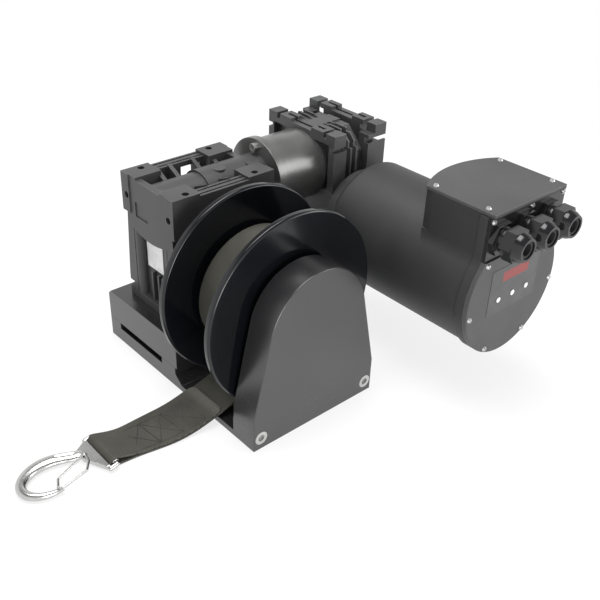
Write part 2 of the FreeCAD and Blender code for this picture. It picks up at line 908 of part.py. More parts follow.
def make_arch():
    across, up = arch_tangent()
    outline = (
        (FRONT, 0),
        (BACK, 0),
        (BACK, S.arch_side_height),
        (across, DRUM_Z + up, S.arch_radius, "left"),
        (-across, DRUM_Z + up),
        (FRONT, S.arch_side_height),
    )
    blank = extruded("arch_blank", "YZ_Plane", outline, S.arch_thickness, offset=ARCH_INNER)
    rounded_face(blank, "x", ARCH_OUTER, S.arch_edge_round)
    cuts = [
        box(
            "arch_step",
            (ARCH_INNER - S.overrun, FRONT - S.overrun, -S.overrun),
            (BASE_RIGHT, BACK + S.overrun, S.base_height),
        )
    ]
    centre = (ARCH_INNER - S.overrun, 0, DRUM_Z)
    seat = S.outboard_bearing_width + S.overrun
    cuts.append(rod("arch_seat", S.outboard_bearing_radius + S.fit_gap, centre, seat, "X"))
    relief = S.outboard_bearing_radius - S.outboard_relief
    cuts.append(rod("arch_relief", relief, centre, seat + S.outboard_relief, "X"))
    for side in (-ARCH_SCREW_Y, ARCH_SCREW_Y):
        start = (ARCH_OUTER + S.overrun, side, S.arch_screw_height)
        sink = S.bolt_head_height + S.overrun
        cuts.append(rod("arch_sink", S.bolt_head_radius + S.bolt_hole_gap, start, sink, "-X"))
        through = S.lip_thickness + S.overrun * 2
        cuts.append(rod("arch_hole", S.bolt_radius + S.bolt_hole_gap, start, through, "-X"))
    node("arch_support", cut("arch_support", blank, cuts))
    length = S.lip_thickness - S.bolt_head_height + S.bolt_grip
    screws = [
        large_screw("arch_screw", (ARCH_OUTER, side, S.arch_screw_height), "-X", length)
        for side in (-ARCH_SCREW_Y, ARCH_SCREW_Y)
    ]
    node("arch_screws", group("arch_screws", screws))


# drum, its shaft and the wound strap

DRUM_AXIS = (0, 0, DRUM_Z)


def drum_screw_places():
    return on_circle(S.drum_screw_circle, (45, 135, 225, 315))


def flange_outline(inner, way):
    """Half of a flange's section. The way is 1 if its inner face looks along +X, and -1 if not."""
    bore = S.shaft_radius + S.fit_gap
    outer = inner - S.flange_thickness * way
    rim = S.flange_radius - S.rim_chamfer
    return (
        (inner + S.flange_step * way, bore),
        (inner + S.flange_step * way, S.flange_step_radius),
        (inner, S.flange_cone_radius),
        (inner, rim),
        (inner - S.rim_chamfer * way, S.flange_radius),
        (outer + S.rim_chamfer * way, S.flange_radius),
        (outer, rim),
        (outer + S.flange_dish * way, S.flange_dish_radius),
        (outer + S.flange_dish * way, bore),
    )


def make_flange(name, inner, way):
    blank = turned(f"{name}_blank", flange_outline(inner, way), DRUM_AXIS, "X")
    face = inner - (S.flange_thickness - S.flange_dish) * way
    axis = "X" if way > 0 else "-X"
    cuts, screws = [], []
    for y, z in drum_screw_places():
        start = (face - S.overrun * way, y, DRUM_Z + z)
        sink = S.drum_screw_head_height + S.overrun
        cuts.append(rod(f"{name}_sink", S.drum_screw_head_radius + S.bolt_hole_gap, start, sink, axis))
        through = S.flange_thickness + S.overrun * 2
        cuts.append(rod(f"{name}_hole", S.drum_screw_radius + S.fit_gap, start, through, axis))
        screws.append(
            cap_screw(
                f"{name}_screw", (face, y, DRUM_Z + z), axis, S.drum_screw_radius,
                S.drum_screw_head_radius, S.drum_screw_head_height, S.drum_screw_length,
                S.drum_screw_head_height, S.drum_screw_head_height / 2,
            )
        )
    node(name, cut(name, blank, cuts))
    return screws


def key_box(name, middle, length):
    low = DRUM_Z + S.shaft_radius - S.key_depth
    return box(
        name,
        (middle - length / 2, -S.key_width / 2, low),
        (middle + length / 2, S.key_width / 2, low + S.key_height),
    )


def make_drum():
    screws = make_flange("drum_flange_left", FLANGE_LEFT, 1)
    screws += make_flange("drum_flange_right", FLANGE_RIGHT, -1)
    node("drum_flange_screws", group("drum_flange_screws", screws))
    bore = S.shaft_radius + S.fit_gap
    blank = ring("hub_blank", bore, S.hub_radius, HUB_LEFT, HUB_RIGHT - HUB_LEFT, DRUM_AXIS, "X")
    cuts = [key_box("hub_keyway", DRUM_X, S.drum_key_length)]
    for y, z in drum_screw_places():
        for start, axis in ((HUB_LEFT - S.overrun, "X"), (HUB_RIGHT + S.overrun, "-X")):
            place = (start, y, DRUM_Z + z)
            deep = S.drum_screw_length + S.overrun
            cuts.append(rod("hub_thread", S.drum_screw_radius + S.fit_gap, place, deep, axis))
    node("drum_hub", cut("drum_hub", blank, cuts))
    left = GEAR_X - S.shaft_left_reach
    shaft = rod("shaft_blank", S.shaft_radius, (left, 0, DRUM_Z), SHAFT_RIGHT - left, "X")
    keyways = [
        key_box("shaft_wheel_keyway", GEAR_X, S.wheel_key_length),
        key_box("shaft_drum_keyway", DRUM_X, S.drum_key_length),
    ]
    node("drum_shaft", cut("drum_shaft", shaft, keyways))
    keys = [
        key_box("wheel_key", GEAR_X, S.wheel_key_length),
        key_box("drum_key", DRUM_X, S.drum_key_length),
    ]
    node("drum_keys", group("drum_keys", keys))


def make_strap_pack():
    start = DRUM_X - S.strap_width / 2
    inner = S.hub_radius + S.clear_gap / 2
    core = ring("strap_core", inner, S.pack_core_radius, start, S.strap_width, DRUM_AXIS, "X")
    node("strap_core", core)
    node("strap_outer_turns", solid("strap_outer_turns", outer_turns(start.value)))


def outer_turns(start):
    """The outermost turns of webbing: a flat band on a spiral of half circles with two centres."""
    pitch, thickness = S.wrap_pitch.value, S.strap_thickness.value
    radius = S.pack_core_radius.value + S.clear_gap.value
    first, last = [], []
    side, at = 1, Vector(0, 0, 0)
    for half in range(WRAP_HALF_TURNS):
        for edges, size in ((first, radius), (last, radius + thickness)):
            ends = [at + Vector(0, 0, -size * side), at + Vector(0, 0, size * side)]
            edges.append(Part.Arc(ends[0], at + Vector(0, -size * side, 0), ends[1]).toShape())
        at = at - Vector(0, 0, pitch / 2 * side)
        radius += pitch / 2
        side = -side
    caps = [
        Part.LineSegment(first[0].Vertexes[0].Point, last[0].Vertexes[0].Point).toShape(),
        Part.LineSegment(first[-1].Vertexes[-1].Point, last[-1].Vertexes[-1].Point).toShape(),
    ]
    band = Part.Face(Part.Wire(Part.__sortEdges__(first + last + caps)))
    turns = band.extrude(Vector(S.strap_width.value, 0, 0))
    turns.translate(Vector(start, 0, DRUM_Z.value))
    print("strap turns: least gap", round(pitch - thickness, 2), "outer radius", round(radius + thickness, 2))
    return turns


# strap's free end, folded round the hook's bar and sewn to itself

def fold_route():
    """The tail's middle line with its fold: the lower run, round the bar, and back on top."""
    bar_y, bar_z = -S.eye_y.value, S.eye_height.value
    layer = S.strap_thickness.value + S.clear_gap.value
    turn = S.eye_bar_radius.value + S.clear_gap.value + S.strap_thickness.value / 2
    centre = S.hook_centre.value
    lower = [Vector(*point) for point in TAIL_ROUTE]
    fold = []
    for step in range(FOLD_STEPS + 1):
        angle = math.radians(-90 - 180 * step / FOLD_STEPS)
        fold.append(Vector(centre, bar_y + turn * math.cos(angle), bar_z + turn * math.sin(angle)))
    upper = []
    for index in range(FOLD_START, len(lower)):
        way = lower[min(index + 1, len(lower) - 1)] - lower[index - 1]
        rise = Vector(0, way.z, -way.y).normalize()
        upper.append(lower[index] + rise * layer)
    return lower + fold + upper[::-1]


def strap_section(before, point, after):
    """The strap's section at a point of its route: flat across X, square to the way in the YZ plane."""
    way = after - before
    up = Vector(0, -way.z, way.y).normalize() * (S.strap_thickness.value / 2)
    wide, narrow = S.strap_width.value, S.fold_width.value
    first, last = TAIL_ROUTE[-3][1], TAIL_ROUTE[-1][1]
    share = min(max((point.y - first) / (last - first), 0), 1)
    half = Vector((wide + (narrow - wide) * share) / 2, 0, 0)
    corners = [point - half - up, point + half - up, point + half + up, point - half + up]
    return Part.makePolygon(corners + corners[:1])


def make_tail():
    route = fold_route()
    sections = []
    for index, point in enumerate(route):
        before = route[max(index - 1, 0)]
        after = route[min(index + 1, len(route) - 1)]
        sections.append(strap_section(before, point, after))
    tail = Part.makeLoft(sections, True, True)
    node("strap_tail", solid("strap_tail", tail))
    length = sum((b - a).Length for a, b in zip(route, route[1:]))
    print("strap tail: length", round(length, 1))


# worms and wheels

def worm_thread(pitch_radius, module, starts, length, facing):
    """Right-hand worm threads about Z, with a thread's middle facing the given angle at half length."""
    lead = math.pi * module * starts
    tip = pitch_radius + module * ADDENDUM_SHARE
    root = pitch_radius - module * (DEDENDUM_SHARE + ROOT_SINK_SHARE)
    half = module * THREAD_HALF_SHARE
    tip_half = half - (tip - pitch_radius) * FLANK_SHARE
    root_half = half + (pitch_radius - root) * FLANK_SHARE
    corners = [
        Vector(root, 0, -root_half),
        Vector(tip, 0, -tip_half),
        Vector(tip, 0, tip_half),
        Vector(root, 0, root_half),
    ]
    profile = Part.makePolygon(corners + corners[:1])
    helix = Part.Wire(Part.makeHelix(lead, length, pitch_radius).Edges)
    thread = helix.makePipeShell([profile], True, True)
    thread.translate(Vector(0, 0, -length / 2))
    first = facing - 180 * length / lead
    return [
        thread.rotated(Vector(0, 0, 0), Vector(0, 0, 1), first + 360 / starts * start)
        for start in range(starts)
    ]


def toothed_rim(pitch_radius, module, width, slant, facing):
    """A wheel's toothed disc about Z, with a gap facing the given angle, its teeth slanted for the worm."""
    sections = []
    for side in (-1, 1):
        twist = side * width / 2 * slant / pitch_radius
        corners = []
        for tooth in range(WHEEL_TEETH):
            middle = math.radians(facing) + (tooth + 0.5) * 2 * math.pi / WHEEL_TEETH + twist
            flank = [
                (pitch_radius + module * height, module * half)
                for height, half in TOOTH_HALF_SHARES
            ]
            sides = [(radius, -half) for radius, half in flank] + flank[::-1]
            for radius, half in sides:
                angle = middle + half / radius
                corners.append(
                    Vector(radius * math.cos(angle), radius * math.sin(angle), side * width / 2)
                )
        sections.append(Part.makePolygon(corners + corners[:1]))
    return Part.makeLoft(sections, True, True)


def worm_slant(pitch_radius, module, starts):
    return module * starts / (2 * pitch_radius)


def make_large_gears():
    worm_radius, module = S.worm_pitch_radius.value, MODULE.value
    length = S.worm_thread_length.value
    threads = worm_thread(worm_radius, module, WORM_STARTS, length, 90)
    seat, bearing = S.worm_bearing_start.value, S.worm_bearing_width.value
    core = Part.makeCylinder(WORM_ROOT.value, 2 * seat, Vector(0, 0, -seat))
    journal = Part.makeCylinder(
        S.worm_shaft_radius.value, BOSS_END.value + seat + bearing, Vector(0, 0, -seat - bearing)
    )
    neck = Part.makeCylinder(S.worm_neck_radius.value, COUPLING_MIDDLE.value)
    worm = solid("worm_shaft", core.multiFuse(threads + [journal, neck]).removeSplitter())
    node("worm_shaft", put(worm, (GEAR_X, 0, WORM_Z), TURNS["Y"]))
    slant = worm_slant(worm_radius, module, WORM_STARTS)
    rim = toothed_rim(WHEEL_PITCH.value, module, S.wheel_width.value, slant, 180)
    blank = put(solid("wheel_rim", rim), (GEAR_X, 0, DRUM_Z), TURNS["X"])
    hub_start = S.wheel_bearing_start + S.wheel_bearing_width
    hub = rod("wheel_hub", S.wheel_hub_radius, (GEAR_X - hub_start, 0, DRUM_Z), hub_start * 2, "X")
    bore = rod(
        "wheel_bore", S.shaft_radius + S.fit_gap,
        (GEAR_X - hub_start - S.overrun, 0, DRUM_Z), (hub_start + S.overrun) * 2, "X",
    )
    keyway = key_box("wheel_keyway", GEAR_X, S.wheel_key_length)
    node("worm_wheel", cut("worm_wheel", fuse("wheel_blank", (blank, hub)), (bore, keyway)))


def make_small_gears():
    worm_radius, module = S.small_worm_pitch_radius.value, SMALL_MODULE.value
    length = S.small_thread_length.value
    threads = worm_thread(worm_radius, module, SMALL_WORM_STARTS, length, 180)
    seat, bearing = S.small_worm_bearing_start.value, S.small_worm_bearing_width.value
    core = Part.makeCylinder(SMALL_WORM_ROOT.value, 2 * seat, Vector(0, 0, -seat))
    end = S.small_half_width.value + S.joint_face.value
    journal = Part.makeCylinder(
        S.small_worm_shaft_radius.value, end + seat + bearing, Vector(0, 0, -seat - bearing)
    )
    worm = solid("small_worm", core.multiFuse(threads + [journal]).removeSplitter())
    node("small_worm", put(worm, (GEAR_X, MOTOR_Y, MOTOR_Z), TURNS["X"]))
    slant = worm_slant(worm_radius, module, SMALL_WORM_STARTS)
    rim = toothed_rim(SMALL_WHEEL_PITCH.value, module, S.small_wheel_width.value, slant, 90)
    blank = put(solid("small_rim", rim), (GEAR_X, MOTOR_Y, WORM_Z), TURNS["Y"])
    half = S.small_wheel_hub_length / 2
    hub = rod("small_hub", S.small_wheel_hub_radius, (GEAR_X, MOTOR_Y - half, WORM_Z), half * 2, "Y")
    bore = rod(
        "small_bore", S.output_shaft_radius + S.fit_gap,
        (GEAR_X, MOTOR_Y - half - S.overrun, WORM_Z), (half + S.overrun) * 2, "Y",
    )
    node("small_worm_wheel", cut("small_worm_wheel", fuse("small_blank", (blank, hub)), (bore,)))
    start = COUPLING_MIDDLE
    shaft_end = SMALL_BACK - S.small_bearing_inset
    shaft = rod("output_shaft", S.output_shaft_radius, (GEAR_X, start, WORM_Z), shaft_end - start, "Y")
    node("output_shaft", shaft)
    length = (SMALL_FRONT - COUPLING_START) * JAW_SHARE
    jaw = ring(
        "shaft_coupling", S.output_shaft_radius + S.fit_gap, S.jaw_radius,
        start - length / 2, length, (GEAR_X, 0, WORM_Z), "Y",
    )
    node("shaft_coupling", jaw)


# large gearbox

def make_large_bearings():
    centre = (GEAR_X, 0, DRUM_Z)
    start, width = S.wheel_bearing_start, S.wheel_bearing_width
    inner = S.wheel_hub_radius + S.fit_gap
    rings = [
        ring("wheel_bearing", inner, S.wheel_bearing_radius, side, width, centre, "X")
        for side in (-start - width, start)
    ]
    rings.append(
        ring(
            "outboard_bearing", S.shaft_radius + S.fit_gap, S.outboard_bearing_radius,
            ARCH_INNER, S.outboard_bearing_width, DRUM_AXIS, "X",
        )
    )
    shaft_seal = ring(
        "shaft_seal", S.shaft_radius + S.fit_gap, S.seal_radius,
        S.case_half_width + S.cover_flange_thickness - S.seal_width, S.seal_width, centre, "X",
    )
    centre = (GEAR_X, 0, WORM_Z)
    start, width = S.worm_bearing_start, S.worm_bearing_width
    inner = S.worm_shaft_radius + S.fit_gap
    rings += [
        ring("worm_bearing", inner, S.worm_bearing_radius, side, width, centre, "Y")
        for side in (-start - width, start)
    ]
    node("main_bearings", group("main_bearings", rings))
    worm_seal = ring(
        "worm_seal", inner, S.worm_bearing_radius, BOSS_END - S.worm_seal_width,
        S.worm_seal_width, centre, "Y",
    )
    node("gearbox_seals", group("gearbox_seals", (shaft_seal, worm_seal)))


def cover_screw_places(radius):
    return on_circle(radius - S.cover_screw_inset, (45, 135, 225, 315))


def make_gearbox_covers():
    centre = (GEAR_X, 0, DRUM_Z)
    seat = S.wheel_bearing_start + S.wheel_bearing_width
    face = S.case_half_width
    top = face + S.cover_flange_thickness
    spigot = S.wheel_bearing_radius
    left = (
        (-seat, S.cover_spigot_inner),
        (-seat, spigot),
        (-face, spigot),
        (-face, S.cover_left_radius),
        (-top, S.cover_left_radius),
        (-top, S.cover_dome_radius),
        (-top - S.cover_dome_height, S.cover_spigot_inner),
        (-top - S.cover_dome_height, 0),
        (-top - S.cover_hollow, 0),
        (-top - S.cover_hollow, S.cover_spigot_inner),
    )
    right = (
        (seat, S.cover_spigot_inner),
        (seat, spigot),
        (face, spigot),
        (face, S.cover_right_radius),
        (top, S.cover_right_radius),
        (top, S.seal_radius),
        (top - S.seal_width, S.seal_radius),
        (top - S.seal_width, S.cover_spigot_inner),
    )
    screws = []
    for name, outline, radius, way in (
        ("gearbox_left_cover", left, S.cover_left_radius, 1),
        ("gearbox_right_cover", right, S.cover_right_radius, -1),
    ):
        blank = turned(f"{name}_blank", outline, centre, "X")
        axis = "X" if way > 0 else "-X"
        cuts = []
        for y, z in cover_screw_places(radius):
            start = (GEAR_X - (top + S.overrun) * way, y, DRUM_Z + z)
            through = S.cover_flange_thickness + S.overrun * 2
            cuts.append(rod(f"{name}_hole", S.cover_screw_radius + S.fit_gap, start, through, axis))
            place = (GEAR_X - (top + S.cover_screw_head_height) * way, y, DRUM_Z + z)
            screws.append(
                cap_screw(
                    f"{name}_screw", place, axis, S.cover_screw_radius, S.cover_screw_head_radius,
                    S.cover_screw_head_height, S.cover_screw_length,
                    S.cover_screw_head_height, S.cover_screw_head_height / 2,
                )
            )
        node(name, cut(name, blank, cuts))
    node("gearbox_cover_screws", group("gearbox_cover_screws", screws))


def gearbox_frame():
    """The large casting's outside: case, worm tube, columns, walls, rails, pads and ribs."""
    wide, long, top = S.gearbox_half_width, S.gearbox_half_length, GEAR_TOP
    left, right = GEAR_X - wide, GEAR_X + wide
    case = (GEAR_X - S.case_half_width, 0, DRUM_Z)
    shapes = [rod("wheel_case", S.case_radius, case, S.case_half_width * 2, "X")]
    tube = WORM_CAVITY + S.worm_tube_wall
    shapes.append(rod("worm_tube", tube, (GEAR_X, -long, WORM_Z), long * 2, "Y"))
    shapes.append(rod("worm_boss", S.worm_boss_radius, (GEAR_X, 0, WORM_Z), BOSS_END, "Y"))
    block = S.block_half_width
    shapes.append(
        box(
            "case_block",
            (GEAR_X - block, -S.block_half_length, RISER_TOP),
            (GEAR_X + block, S.block_half_length, RISER_TOP + S.block_top),
        )
    )
    shapes.append(box("foot", (left, -long, RISER_TOP), (right, long, RISER_TOP + S.foot_height)))
    for x, y in ((-wide, -long), (-wide, long), (wide, -long), (wide, long)):
        inner_x = x + (S.column_width if x.value < 0 else -S.column_width)
        inner_y = y + (S.column_depth if y.value < 0 else -S.column_depth)
        shapes.append(corner_block("column", x, inner_x, y, inner_y, RISER_TOP, top - S.rail_drop))
        inner_x = x + (S.pad_width if x.value < 0 else -S.pad_width)
        inner_y = y + (S.pad_length if y.value < 0 else -S.pad_length)
        shapes.append(corner_block("pad", x, inner_x, y, inner_y, top - S.pad_height, top))
        inner_x = x + (S.cheek_width if x.value < 0 else -S.cheek_width)
        outer_y = y + (-S.cheek_step if y.value < 0 else S.cheek_step)
        inner_y = y + (S.cheek_width if y.value < 0 else -S.cheek_width)
        shapes.append(corner_block("cheek", x, inner_x, outer_y, inner_y, top - S.cheek_height, top))
    for x, y in both_ways(S.pillar_x, long - S.pillar_radius):
        start = (GEAR_X + x, y, RISER_TOP)
        shapes.append(rod("pillar", S.pillar_radius, start, S.gearbox_height - S.end_wall_height, "Z"))
    for side in (-1, 1):
        outer, inner = wide * side, (wide - S.rail_width) * side
        high = top - S.rail_drop
        shapes.append(corner_block("rail", outer, inner, -long, long, high - S.rail_height, high))
    shapes.append(end_wall(-long))
    shapes.append(end_wall(long - S.wall_thickness))
    plug = (GEAR_X + S.plug_x, S.plug_y, WORM_Z)
    shapes.append(rod("plug_boss", S.plug_radius, plug, top - S.rail_drop - WORM_Z + S.overrun, "Z"))
    for share in RIB_SHARES:
        shapes += [rail_rib(side, long * share) for side in (-1, 1)]
    low = RISER_TOP + S.case_fin_low
    for share in CASE_FIN_SHARES:
        middle, half = S.block_half_width * share, S.case_fin_thickness / 2
        shapes.append(
            corner_block(
                "case_fin", middle - half, middle + half, -S.block_half_length - S.case_fin_depth, 0,
                low, low + S.case_fin_height,
            )
        )
    return fuse("gearbox_frame", shapes, refine=False)


def end_wall(front):
    """The wall at one end of the large casting, with its lower edge bowed down."""
    wide = S.gearbox_half_width - S.column_width + S.overrun
    high, low = GEAR_TOP - S.rail_drop, GEAR_TOP - S.end_wall_height
    outline = (
        (GEAR_X - wide, high),
        (GEAR_X - wide, low, S.end_wall_radius, "left"),
        (GEAR_X + wide, low),
        (GEAR_X + wide, high),
    )
    return extruded("end_wall", "XZ_Plane", outline, S.wall_thickness, offset=-front - S.wall_thickness)


def corner_block(name, x_one, x_two, y_one, y_two, low, high):
    """A block beside the large gearbox's middle, from two opposite corners in any order."""
    xs = sorted((as_size(x_one), as_size(x_two)), key=lambda size: size.value)
    ys = sorted((as_size(y_one), as_size(y_two)), key=lambda size: size.value)
    return box(name, (GEAR_X + xs[0], ys[0], low), (GEAR_X + xs[1], ys[1], high))


def gearbox_cuts():
    tip = WHEEL_PITCH + MODULE * ADDENDUM_SHARE + S.clear_gap * 2
    half = S.wheel_width / 2 + S.wheel_cavity_gap
    cuts = [rod("wheel_cavity", tip, (GEAR_X - half, 0, DRUM_Z), half * 2, "X")]
    reach = S.gearbox_half_width + S.overrun
    through = S.wheel_hub_radius + S.wheel_cavity_gap
    cuts.append(rod("hub_way", through, (GEAR_X - reach, 0, DRUM_Z), reach * 2, "X"))
    for axis, way in (("X", 1), ("-X", -1)):
        start = (GEAR_X + S.wheel_bearing_start * way, 0, DRUM_Z)
        seat = S.gearbox_half_width - S.wheel_bearing_start + S.overrun
        cuts.append(rod("wheel_seat", S.wheel_bearing_radius + S.fit_gap, start, seat, axis))
        face = (GEAR_X + S.case_half_width * way, 0, DRUM_Z)
        room = S.cover_left_radius + S.clear_gap
        cuts.append(rod("cover_room", room, face, S.gearbox_half_width, axis))
        for y, z in cover_screw_places(S.cover_left_radius if way < 0 else S.cover_right_radius):
            place = (face[0] + S.overrun * way, y, DRUM_Z + z)
            back = "X" if way < 0 else "-X"
            deep = S.cover_screw_length - S.cover_flange_thickness + S.overrun * 2
            cuts.append(rod("cover_thread", S.cover_screw_radius + S.fit_gap, place, deep, back))
    worm = S.worm_bearing_start
    cuts.append(rod("worm_cavity", WORM_CAVITY, (GEAR_X, -worm, WORM_Z), worm * 2, "Y"))
    deep = worm + S.worm_bearing_width
    bore = S.worm_bearing_radius + S.fit_gap
    cuts.append(rod("worm_seat", bore, (GEAR_X, -deep, WORM_Z), BOSS_END + deep + S.overrun, "Y"))
    for x, y in both_ways(S.pad_hole_x, S.pad_hole_y):
        start = (GEAR_X + x, y, GEAR_TOP + S.overrun)
        cuts.append(rod("pad_hole", S.pad_hole_radius, start, S.pad_hole_depth + S.overrun, "-Z"))
    front = -S.gearbox_half_length - S.cheek_step - S.overrun
    for x in (-S.face_hole_x, S.face_hole_x):
        start = (GEAR_X + x, front, GEAR_TOP - S.face_hole_drop)
        cuts.append(rod("face_hole", S.pad_hole_radius, start, S.pad_hole_depth + S.overrun, "Y"))
    for x, y in foot_bolt_places():
        start = (x, y, RISER_TOP - S.overrun)
        cuts.append(rod("foot_thread", S.bolt_radius + S.fit_gap, start, S.bolt_grip + S.overrun * 2, "Z"))
    wide, long = S.gearbox_half_width, S.gearbox_half_length
    for side in (-1, 1):
        for offset in (-S.rail_groove_offset, S.rail_groove_offset):
            middle = (wide - S.rail_width / 2) * side + offset
            half = S.rail_groove_width / 2
            reach = long - S.pad_length
            high = GEAR_TOP - S.rail_drop
            cuts.append(
                corner_block(
                    "rail_groove", middle - half, middle + half, -reach, reach,
                    high - S.rail_groove_depth, high + S.overrun,
                )
            )
        cuts.append(column_relief(side))
        for y in (-1, 1):
            low = RISER_TOP + S.foot_notch_low
            cuts.append(
                corner_block(
                    "foot_notch", (wide + S.overrun) * side, (wide - S.foot_notch_depth) * side,
                    (long + S.overrun) * y, (long - S.column_depth - S.overrun) * y,
                    low, low + S.foot_notch_height,
                )
            )
    cuts.append(
        corner_block(
            "side_window", -wide - S.overrun, S.rail_width - wide + S.overrun,
            S.side_window_near, S.side_window_far,
            GEAR_TOP - S.side_window_low, GEAR_TOP - S.side_window_high,
        )
    )
    front = -long
    middle = GEAR_X - S.plaque_offset
    high = GEAR_TOP - S.plaque_drop
    cuts.append(
        box(
            "plaque",
            (middle - S.plaque_width / 2, front - S.overrun, high - S.plaque_height),
            (middle + S.plaque_width / 2, front + S.plaque_depth, high),
        )
    )
    return cuts


def rail_rib(side, middle):
    """A short rib that falls from the rail of one side towards the worm's tube."""
    outer = GEAR_X + (S.gearbox_half_width - S.rail_width) * side
    inner = outer - S.rib_length * side
    low, high = GEAR_TOP - S.rib_height, GEAR_TOP - S.rib_drop
    outline = [
        (inner, low),
        (outer, low),
        (outer, high),
        (inner, high - S.rib_fall),
    ]
    thick = S.rib_thickness
    return extruded("rib", "XZ_Plane", outline[::side], thick, offset=-middle - thick / 2)


def column_relief(side):
    """The slope on the outside of the columns of one side: deep below the cheeks, out at the foot."""
    outer = GEAR_X + S.gearbox_half_width * side
    high, low = GEAR_TOP - S.cheek_height, RISER_TOP + S.relief_rise
    beyond = outer + S.overrun * side
    outline = [
        (outer, low),
        (beyond, low),
        (beyond, high),
        (outer - S.column_relief * side, high),
    ]
    return extruded(
        "column_relief", "XZ_Plane", outline[::side], (S.gearbox_half_length + S.overrun) * 2, midplane=True
    )


def make_large_gearbox():
    node("gearbox_housing", cut("gearbox_housing", gearbox_frame(), gearbox_cuts()))
    middle = GEAR_X - S.label_offset
    front = -S.block_half_length
    label = box(
        "rating_label",
        (middle - S.label_width / 2, front - S.label_thickness, S.label_bottom),
        (middle + S.label_width / 2, front, S.label_bottom + S.label_height),
    )
    node("rating_label", label)


# coupling housing between the gearboxes

def make_coupling_housing():
    centre = (GEAR_X, 0, WORM_Z)
    bore = S.worm_bearing_radius - S.coupling_flange_thickness / 2
    flange = ring(
        "coupling_flange_blank", bore, S.coupling_flange_radius, BOSS_END,
        S.coupling_flange_thickness, centre, "Y",
    )
    sleeve = ring(
        "coupling_sleeve_blank", S.coupling_bore, S.coupling_radius, COUPLING_START,
        SMALL_FRONT - COUPLING_START, centre, "Y",
    )
    flange_cuts, sleeve_cuts, screws = [], [], []
    hole = S.coupling_screw_radius + S.fit_gap
    for x, z in on_circle(S.coupling_screw_circle, (0, 90, 180, 270)):
        start = (GEAR_X + x, BOSS_END - S.overrun, WORM_Z + z)
        through = S.coupling_flange_thickness + S.overrun * 2
        flange_cuts.append(rod("coupling_hole", hole, start, through, "Y"))
        deep = S.coupling_screw_length + S.overrun * 2
        sleeve_cuts.append(rod("sleeve_thread", hole, start, deep, "Y"))
        place = (GEAR_X + x, BOSS_END - S.coupling_screw_head_height, WORM_Z + z)
        screws.append(
            cap_screw(
                "coupling_screw", place, "Y", S.coupling_screw_radius, S.coupling_screw_head_radius,
                S.coupling_screw_head_height, S.coupling_screw_length,
                S.coupling_screw_head_radius, S.coupling_screw_head_height / 2,
            )
        )
    node("coupling_flange", cut("coupling_flange", flange, flange_cuts))
    node("coupling_sleeve", cut("coupling_sleeve", sleeve, sleeve_cuts))
    node("coupling_screws", group("coupling_screws", screws))


# small gearbox

def small_frame():
    """The small casting's outside: two plates with a finned core between them."""
    wide = S.small_half_width
    shapes = []
    for low, high in (
        (SMALL_FRONT, SMALL_FRONT + S.small_plate_thickness),
        (SMALL_BACK - S.small_plate_thickness, SMALL_BACK),
    ):
        shapes.append(
            box("small_plate", (GEAR_X - wide, low, SMALL_BOTTOM), (GEAR_X + wide, high, SMALL_TOP))
        )
    inset = S.small_core_inset
    core = S.small_core_half_width
    step = MOTOR_Y + S.small_wheel_width / 2 + S.wheel_cavity_gap + S.small_core_wall
    for back, high in (
        (step, SMALL_TOP - inset),
        (SMALL_BACK, WORM_Z + S.small_bearing_radius + S.small_core_wall),
    ):
        outline = cut_corners(core, SMALL_BOTTOM + inset, high, S.core_foot_corner, S.core_corner)
        shapes.append(extruded("small_core", "XZ_Plane", outline, back - SMALL_FRONT, offset=-back))
    shapes.append(
        box(
            "motor_pad",
            (GEAR_X, MOTOR_Y - S.adapter_bolt_circle / 2, SMALL_BOTTOM + inset),
            (
                SMALL_RIGHT,
                MOTOR_Y + S.adapter_bolt_circle / 2,
                MOTOR_Z + S.small_worm_bearing_radius + S.small_core_wall,
            ),
        )
    )
    block = S.top_block_half_width
    shapes.append(
        box(
            "top_block",
            (GEAR_X - block, SMALL_FRONT, WORM_Z),
            (GEAR_X + block, step, SMALL_TOP - S.recess_depth),
        )
    )
    back = SMALL_BACK - S.small_plate_thickness
    for side in (-1, 1):
        shapes.append(
            corner_block(
                "plate_post", wide * side, (wide - S.post_width) * side, back - S.post_depth, back,
                SMALL_BOTTOM, SMALL_TOP - S.post_drop,
            )
        )
    for place in range(FIN_COUNT):
        middle = SMALL_FRONT + S.small_plate_thickness + S.fin_start + S.fin_pitch * place
        shapes.append(fin(middle - S.fin_thickness / 2))
    return fuse("small_frame", shapes)


def cut_corners(wide, low, high, foot, corner):
    """A block's outline about the gearbox's middle, with its lower and upper corners cut off."""
    left, right = GEAR_X - wide, GEAR_X + wide
    return (
        (left + foot, low),
        (right - foot, low),
        (right, low + foot),
        (right, high - corner),
        (right - corner, high),
        (left + corner, high),
        (left, high - corner),
        (left, low + foot),
    )


def fin(front):
    """One cooling fin, with its corners cut off."""
    low, high = SMALL_BOTTOM + S.fin_inset, SMALL_TOP - S.fin_inset
    outline = cut_corners(S.fin_half_width, low, high, S.fin_corner, S.fin_corner)
    return extruded("fin", "XZ_Plane", outline, S.fin_thickness, offset=-front - S.fin_thickness)


